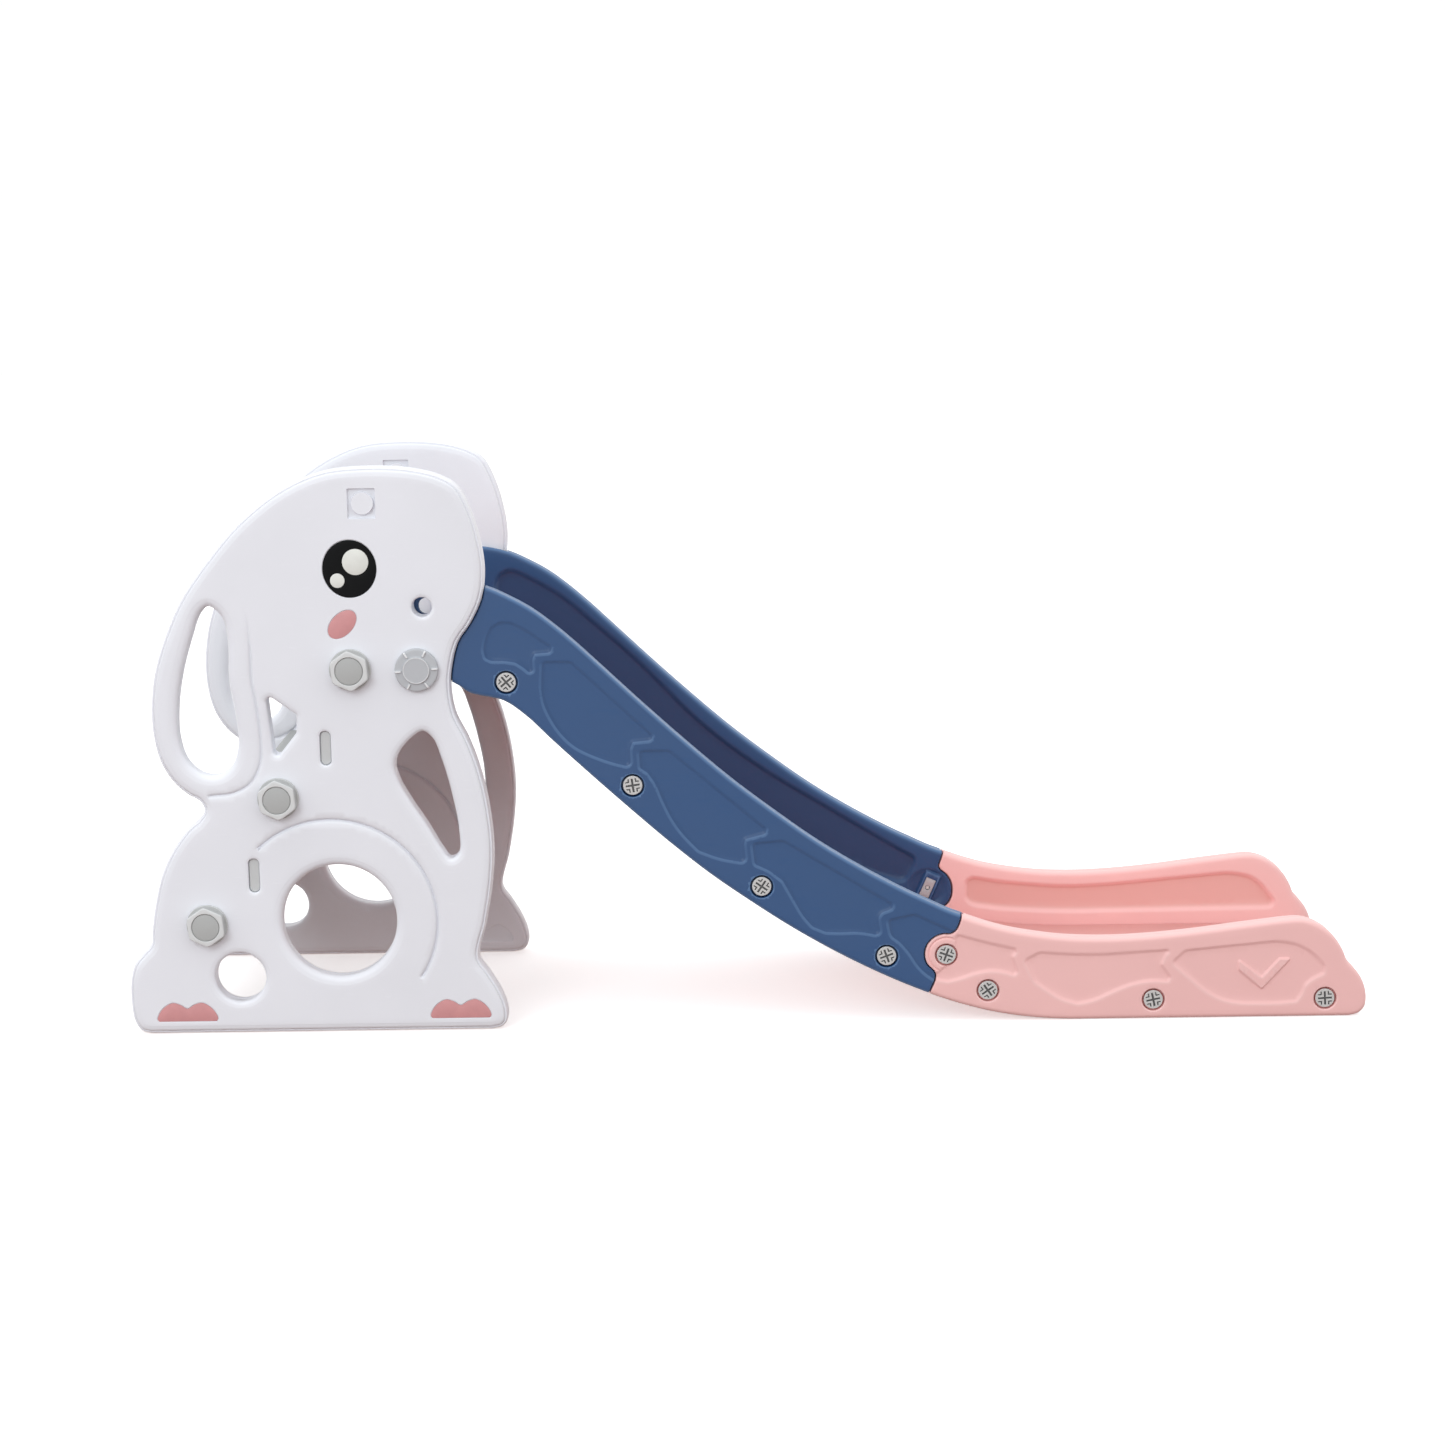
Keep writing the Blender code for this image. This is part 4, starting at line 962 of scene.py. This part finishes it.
def bed_shapes():
    """Sliding surfaces: the upper one with the hook for its rod, and the lower one."""
    upper, lower = (spline(line, 6.0) for line in (UPPER_BED_LINE, LOWER_BED_LINE))
    top, bottom = ((shifted(line, -BED_HALF_THICK, False),
                    shifted(line, BED_HALF_THICK, False)[::-1]) for line in (upper, lower))
    hook = arc(*CHUTE_ROD, *BED_HOOK)
    foot = arc(*LOWER_BED_LINE[-1], BED_HALF_THICK, -80, 80, 15)
    bore = circle(*CHUTE_ROD, ROD_RADIUS + GAP, 32)
    ends = (-BED_HALF_WIDTH, BED_HALF_WIDTH, 1.5, 3)
    return {
        "upper_chute_bed": slab([dense(np.vstack((BED_HEAD, hook, *top)), 8.0), bore], *ends),
        "lower_chute_bed": slab([dense(np.vstack((bottom[0], foot, bottom[1])), 8.0)], *ends),
    }


def hexagonal(apothem, corner):
    """Radius of a hexagon with rounded corners, by angle."""
    def radius(turn):
        flat = apothem / np.cos(turn % (math.pi / 3) - math.pi / 6)
        return -np.log(np.exp(-BLEND * flat) + np.exp(-BLEND * corner)) / BLEND
    return radius


def nut_shape(profile, count):
    """Hand nut turned from the profile of its outside, with a bore for its rod's end."""
    bore = ROD_RADIUS + GAP
    depth = ROD_HALF_LENGTH - PANEL_OUTER
    return turned(profile + [(bore, GAP), (bore, depth), (0, depth + GAP)], count)


def hand_nut_shape():
    """Six-sided hand nut with a round foot and a flat cap in its front."""
    # Third values: painted highlight on the cap ring, the hexagon's front edges and the foot.
    return nut_shape([
        (0, 15.3), (16.0, 15.3), (16.6, 15.1), (16.9, 14.5), (17.2, 14.1), (17.5, 14.5),
        (17.8, 15.4, 0.6), (18.4, 15.9, 1), (21.0, 16.0, 1),
        (hexagonal(21.9, 24.4), 15.7, 1), (hexagonal(22.6, 25.3), 14.8, 0.9),
        (hexagonal(22.9, 25.8), 13.4, 0.3), (hexagonal(23.0, 26.0), 11.5),
        (hexagonal(23.1, 26.1), 4.6), (hexagonal(23.5, 26.1), 3.8), (25.2, 3.5, 0.3),
        (25.9, 3.0, 0.8), (26.2, 2.2, 0.6), (26.2, 0.9), (25.8, 0.5), (25.2, GAP),
    ], 144)


def ribbed(radius, low, rise):
    """Radius, height and painted highlight mark round a nut, with its six ribs."""
    def rib(turn):
        off = np.abs((turn + math.pi / 6) % (math.pi / 3) - math.pi / 6) * radius
        return soft_step(off - 1.2, 0.7)
    return radius, lambda turn: low + rise * rib(turn), rib


def ribbed_nut_shape():
    """Flat round nut with six radial ribs round a raised centre."""
    # Third values and the rib marks: painted highlight on the bevels and the ribs.
    return nut_shape([
        (0, 10.2), (15.0, 10.2), (15.5, 10.5, 0.7), (16.3, 10.5, 0.7), (16.7, 9.9, 0.3),
        (17.0, 8.2), (17.4, 7.6), (18.0, 7.5), (18.8, 7.5), ribbed(19.2, 7.5, 1.8),
        ribbed(19.8, 7.5, 2.4), ribbed(22.0, 7.4, 2.5), ribbed(24.4, 7.3, 2.5),
        ribbed(25.4, 7.2, 2.4), ribbed(26.3, 6.8, 2.2), ribbed(26.9, 6.0, 1.6),
        (27.1, 4.8, 0.3), (27.1, 1.0), (26.7, 0.5), (26.1, GAP),
    ], 360)


def screw_mesh(name, length, side):
    """Wide-headed plastic screw with a cross recess and four corner recesses."""
    long, short = HEAD_CROSS
    arm = [(short, long), (-short, long), (-short, short)]
    cross = np.vstack([tilted(arm, 0, 0, 90 * turn) for turn in range(4)])
    recesses = [field(cross, 2.4, 0.5, (), 0.8)]
    recesses += [field(tilted(HEAD_CORNER, 0, 0, 90 * turn), 2.0, 0.5, (), 0.8)
                 for turn in range(4)]
    rim = circle(0, 0, HEAD_RADIUS - HEAD_NARROWER, 96)
    head = plate([(rim, 1.0)], -HEAD_THICK, 0, recesses, (), 1.4)
    points, faces, marks = turned([
        (0, -3.4), (SHANK_RADIUS, -3.4), (SHANK_RADIUS, 1 - length),
        (SHANK_RADIUS - 1, -length), (0, -length)], 32)
    # Painted shade: the shank near the head takes the dark recess colour.
    marks[:, 1] = 1.1 * (points[:, 2] > -15)
    return carved(make_mesh(name, head, side, False),
                  [make_mesh("shank", (points, faces, marks), side, False)], "UNION")


def decal_pieces(side, label):
    """Printed film pieces of one panel, and the light spots of the eye."""
    floor = PANEL_OUTER - DECAL_DEPTH + GAP / 2
    ends = (floor, floor + DECAL_THICK, 0.15)
    spots = {name: circle(x, z, radius, 72) for name, x, z, radius in SHINES}
    for name, loop in decal_loops().items():
        holes = [shifted(spot, -0.05) for spot in spots.values()] if name == "eye" else []
        put(f"{label}_{name}_print", make_mesh(name, slab([loop] + holes, *ends), side),
            "eye_print" if holes else "rosy_print", f"{label}_{name}_decal")
    for name, loop in spots.items():
        put(f"{label}_eye_shine_{name}", make_mesh(name, slab([loop], *ends), side),
            "shine_print")


def nut_pieces(side, label):
    """Hand nuts of one panel, each on its own body."""
    hand = make_mesh("hand_nut", hand_nut_shape(), side, False)
    ribs = make_mesh("ribbed_nut", ribbed_nut_shape(), side, False)
    places = [(name, centre, hand, "grey_plastic", NUT_TURN)
              for name, centre in STEP_RODS.items()]
    places.append(("chute", CHUTE_ROD, ribs, "pale_plastic", RIBBED_NUT_TURN))
    for name, (x, z), mesh, surface, turn in places:
        node = f"{label}_{name}_nut"
        put(f"{node}_moulded", mesh, surface, node, f"{node}_body",
            (x, side * PANEL_OUTER, z), turn, 30.0)


def screw_pieces(side, label):
    """Rail screws and the screw of the rail joint on one side."""
    seat = side * (RAIL_OUTER - HEAD_SINK)
    long = screw_mesh("rail_screw", SHANK_LENGTH, side)
    short = screw_mesh("joint_screw", JOINT_SHANK_LENGTH, side)
    places = [(f"rail_screw_{index}", centre, long)
              for index, centre in enumerate(UPPER_SCREWS + LOWER_SCREWS, 1)]
    for name, (x, z), mesh in places + [("joint_screw", JOINT_SCREW, short)]:
        put(f"{label}_{name}_moulded", mesh, "screw_plastic", f"{label}_{name}",
            location=(x, seat, z), turn=SCREW_TURNS[x])


def large_pieces():
    """Panels, rails, nut plates, steps and beds."""
    panel, nut_plate = panel_shape(), nut_plate_shape()
    rails = (("upper", "blue_plastic", *upper_rail()), ("lower", "pink_plastic", *lower_rail()))
    for side, label in SIDES:
        put(f"{label}_panel_moulded", make_mesh("panel", panel, side), "white_plastic",
            f"{label}_side_panel")
        for name, surface, shape, cutters in rails:
            tools = [make_mesh("tool", cutter, side) for cutter in cutters]
            node = f"{label}_{name}_rail"
            put(f"{node}_moulded", carved(make_mesh(f"{name}_rail", shape, side), tools),
                surface, node)
        put(f"{label}_nut_plate_pressed", make_mesh("nut_plate", nut_plate, side),
            "nut_plate_metal", f"{label}_nut_plate")
    for label in STEP_RODS:
        node = "platform" if label == "platform" else f"{label}_step"
        put(f"{node}_moulded", step_mesh(label), "grey_plastic", node, sharp=30.0)
    for node, shape in bed_shapes().items():
        put(f"{node}_moulded", make_mesh(node, shape, 1), "bed_plastic", node)


class Nodes:
    """Small builder for the node tree of a material or of the world."""

    def __init__(self, owner, shader="Principled BSDF", place="Object"):
        owner.use_nodes = True
        self.owner, self.tree = owner, owner.node_tree
        self.shader = self.tree.nodes[shader]
        self.place = self.add("TexCoord", {}, place)

    def link(self, value, socket):
        """Connect an output, or set a plain value, on a socket."""
        if isinstance(value, bpy.types.NodeSocket):
            self.tree.links.new(value, socket)
        else:
            socket.default_value = value

    def add(self, kind, inputs, output=0, **settings):
        """Output of a new node with the given settings and inputs."""
        node = self.tree.nodes.new("ShaderNode" + kind)
        for name, value in settings.items():
            setattr(node, name, value)
        for name, value in inputs.items():
            self.link(value, node.inputs[name])
        return node.outputs[output]

    def noise(self, scale, detail=3.0, stretch=None):
        """Noise value over the piece, features about 1/scale metres."""
        place = self.place
        if stretch:
            place = self.add("Mapping", {"Vector": place, "Scale": stretch})
        return self.add("TexNoise", {"Vector": place, "Scale": scale, "Detail": detail}, "Fac")

    def ramp(self, value, low, high, start, end):
        """Value mapped from a range to another, clamped."""
        return self.add("MapRange", dict(enumerate((value, low, high, start, end))), "Result")

    def sum(self, first, second):
        """Sum of two values."""
        return self.add("Math", {0: first, 1: second}, operation="ADD")

    def mix(self, share, first, second):
        """Colour between two others."""
        return self.add("Mix", {"Factor": share, "A": first, "B": second}, "Result",
                        data_type="RGBA")

    def laid(self, base, value, low, high, share, colour):
        """Colour laid over another where a value rises from low to high, up to a share."""
        return self.mix(self.ramp(value, low, high, 0.0, share), base, colour)

    def bump(self, height, distance, strength, **before):
        """Bump from a height value, over an earlier bump given as its Normal."""
        inputs = {"Height": height, "Distance": distance, "Strength": strength, **before}
        return self.add("Bump", inputs, "Normal")

    def shade(self, inputs):
        """Give the shader its inputs, and return the material."""
        for name, value in inputs.items():
            self.link(value, self.shader.inputs[name])
        return self.owner


def tone(colour, factor):
    """Colour made lighter or darker."""
    return tuple(min(1.0, channel * factor) for channel in colour[:3]) + (1.0,)


def srgb(red, green, blue):
    """Linear colour of an sRGB value from 0 to 255."""
    return tuple(value / 12.92 if value <= 0.04045 else ((value + 0.055) / 1.055) ** 2.4
                 for value in (red / 255.0, green / 255.0, blue / 255.0)) + (1.0,)


def plastic(name, colour, roughness, pale, deep, glow=0.0):
    """Moulded plastic: fine grain, slow waviness, faint scuffs and a paler painted highlight on
    edges.

    deep is the painted shade of the recesses, with the depths it starts and ends at, and glow is
    the share of light that shines through.
    """
    made = Nodes(bpy.data.materials.new(name))
    broad, fine = made.noise(6.5, 4.0), made.noise(1100.0, 2.0)
    scuff, wave = made.noise(38.0, 6.0, (1.0, 1.0, 5.0)), made.noise(24.0, 2.0)
    rim, recess = (made.add("Attribute", {}, "Fac", attribute_name=mark) for mark in MARKS)
    base = made.laid(tone(colour, 0.975), broad, 0.3, 0.7, 1.0, tone(colour, 1.02))
    base = made.laid(base, scuff, 0.62, 0.74, 0.35, tone(colour, 1.06))
    base = made.laid(base, fine, 0.3, 0.7, 0.12, tone(colour, 0.86))
    # Painted highlight: the paler colour along rims, fillets, seams, the parting line and field
    # lips.
    base = made.laid(base, rim, 0.35, 0.9, 0.9, pale)
    # Painted shade: recesses darkened towards their depth.
    base = made.laid(base, recess, deep[1], deep[2], 1.0, deep[0])
    rough = made.ramp(broad, 0.3, 0.7, roughness - 0.03, roughness + 0.03)
    rough = made.sum(rough, made.ramp(scuff, 0.58, 0.75, 0.0, 0.10))
    rough = made.sum(rough, made.ramp(rim, 0.5, 1.0, 0.0, -0.06))
    normal = made.bump(fine, 0.00005, 0.6, Normal=made.bump(wave, 0.0006, 0.35))
    if glow:
        through = made.add("BsdfTranslucent", {"Color": base})
        both = made.add("MixShader", {"Fac": glow, 1: made.shader.outputs["BSDF"], 2: through})
        made.link(both, made.tree.nodes["Material Output"].inputs["Surface"])
    return made.shade({"Base Color": base, "Roughness": rough, "Normal": normal})


def metal(name, colour, roughness, stretch, shine=1.0):
    """Plated steel with drawn or rolled streaks."""
    made = Nodes(bpy.data.materials.new(name))
    streak, stain = made.noise(420.0, 3.0, stretch), made.noise(55.0, 4.0)
    base = made.laid(tone(colour, 0.88), stain, 0.35, 0.7, 1.0, tone(colour, 1.05))
    return made.shade({
        "Base Color": made.laid(base, streak, 0.3, 0.7, 0.3, tone(colour, 0.75)),
        "Metallic": shine,
        "Roughness": made.ramp(streak, 0.3, 0.7, roughness - 0.06, roughness + 0.1),
        "Normal": made.bump(streak, 0.00004, 0.5),
    })


def printed(name, colour, roughness, specular=0.5):
    """Printed film with a faint screen texture and rubbed patches."""
    made = Nodes(bpy.data.materials.new(name))
    patch, fine = made.noise(60.0, 4.0), made.noise(1600.0, 2.0)
    base = made.laid(tone(colour, 0.96), patch, 0.35, 0.7, 1.0, tone(colour, 1.05))
    return made.shade({
        "Base Color": made.laid(base, fine, 0.35, 0.7, 0.15, tone(colour, 0.85)),
        "Roughness": made.ramp(patch, 0.3, 0.7, roughness - 0.04, roughness + 0.06),
        "Normal": made.bump(fine, 0.00003, 0.4),
        "Specular IOR Level": specular,
    })


def make_surfaces():
    """Every material of the slide."""
    white, rosy = srgb(239, 241, 247), srgb(246, 190, 185)
    grey, pale = srgb(180, 182, 181), srgb(190, 193, 197)
    # Fourth argument: colour of the painted edge highlight; fifth: painted shade in the recesses.
    return {
        "white_plastic": plastic("white_moulded", white, 0.46, tone(white, 1.05),
                                 (tone(white, 0.93), 0.4, 1.8)),
        "blue_plastic": plastic("blue_moulded", srgb(37, 75, 121), 0.42, srgb(84, 120, 164),
                                (srgb(37, 66, 108), 3.0, 6.0)),
        "pink_plastic": plastic("pink_moulded", srgb(250, 199, 196), 0.42, srgb(250, 205, 202),
                                (srgb(234, 179, 172), 3.0, 6.0)),
        "bed_plastic": plastic("bed_moulded", rosy, 0.34, tone(rosy, 1.03),
                               (tone(rosy, 0.9), 1.0, 2.0), glow=0.18),
        "grey_plastic": plastic("grey_moulded", grey, 0.50, srgb(222, 224, 224),
                                (tone(grey, 0.9), 0.5, 2.0)),
        "pale_plastic": plastic("pale_moulded", pale, 0.50, srgb(242, 243, 244),
                                (tone(pale, 0.9), 0.5, 2.0)),
        # Dark grey painted shade for the cross recesses and the shank.
        "screw_plastic": plastic("screw_moulded", srgb(208, 208, 206), 0.42,
                                 srgb(220, 220, 218), (srgb(86, 86, 86), 0.4, 1.8)),
        "nut_plate_metal": metal("plate_metal", srgb(196, 199, 203), 0.5, (1.0, 1.0, 0.08), 0.25),
        "rod_metal": metal("rod_metal_drawn", srgb(186, 188, 190), 0.28, (1.0, 0.02, 1.0)),
        "eye_print": printed("eye_black_print", srgb(5, 5, 6), 0.5, 0.10),
        "shine_print": printed("eye_light_print", srgb(232, 234, 228), 0.45),
        "rosy_print": printed("rosy_film_print", srgb(213, 150, 151), 0.48),
    }


def make_floor():
    """Plain pale floor, which leaves the light from below as it is."""
    size = FLOOR_HALF
    mesh = bpy.data.meshes.new("floor")
    mesh.from_pydata([(-size, -size, 0), (size, -size, 0), (size, size, 0), (-size, size, 0)],
                     [], [(0, 1, 2, 3)])
    floor = linked("floor", mesh)
    floor.location.z = -FLOOR_BELOW
    floor.visible_diffuse = False
    paper = Nodes(bpy.data.materials.new("pale_paper"))
    mesh.materials.append(paper.shade({
        "Base Color": paper.laid((0.91, 0.91, 0.915, 1), paper.noise(3.0), 0.3, 0.7, 1.0,
                                 (0.93, 0.93, 0.93, 1)),
        "Emission Color": (1.0, 1.0, 1.0, 1.0),
        "Emission Strength": FLOOR_GLOW,
        "Roughness": 0.9,
        "Specular IOR Level": 0.1,
    }))


def make_light():
    """Even white surroundings and soft studio lamps."""
    world = bpy.data.worlds.new("studio")
    bpy.context.scene.world = world
    sky = Nodes(world, "Background", "Generated")
    height = sky.add("SeparateXYZ", {0: sky.place}, "Z")
    above = sky.ramp(height, *WORLD_HORIZON, 0.0, 1.0)
    level = sky.sum(WORLD_LEVEL, sky.ramp(height, 0.0, 1.0, 0.0, WORLD_RISE))
    sky.shade({"Color": sky.mix(above, WORLD_BELOW, (1.0, 1.0, 1.0, 1.0)), "Strength": level})
    for name, place, aim, size, power in LAMPS:
        light = bpy.data.lights.new(name, "AREA")
        light.shape = "DISK"
        light.size = size
        light.energy = power
        light.color = LAMP_COLOUR
        lamp = linked(name, light)
        lamp.location = place
        lamp.rotation_euler = (Vector(aim) - Vector(place)).to_track_quat("-Z", "Y").to_euler()


def make_camera():
    """Camera low in front of the right side, looking down a little."""
    data = bpy.data.cameras.new("camera")
    data.lens = CAMERA_LENS
    data.sensor_width = CAMERA_SENSOR
    data.clip_end = 60.0
    camera = linked("camera", data)
    camera.location = CAMERA_PLACE
    pitch, yaw, roll = (math.radians(angle) for angle in CAMERA_TURN)
    turn = (Matrix.Rotation(-yaw, 3, "Z") @ Matrix.Rotation(math.pi / 2 - pitch, 3, "X")
            @ Matrix.Rotation(roll, 3, "Z"))
    camera.rotation_euler = turn.to_euler()
    bpy.context.scene.camera = camera


SURFACES = make_surfaces()
large_pieces()
for side, label in SIDES:
    decal_pieces(side, label)
    nut_pieces(side, label)
    screw_pieces(side, label)
for name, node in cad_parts.items():
    if name.endswith("_rod"):
        node.data.materials.clear()
        node.data.materials.append(SURFACES["rod_metal"])
make_floor()
make_light()
make_camera()
bpy.context.scene.view_settings.view_transform = "Standard"
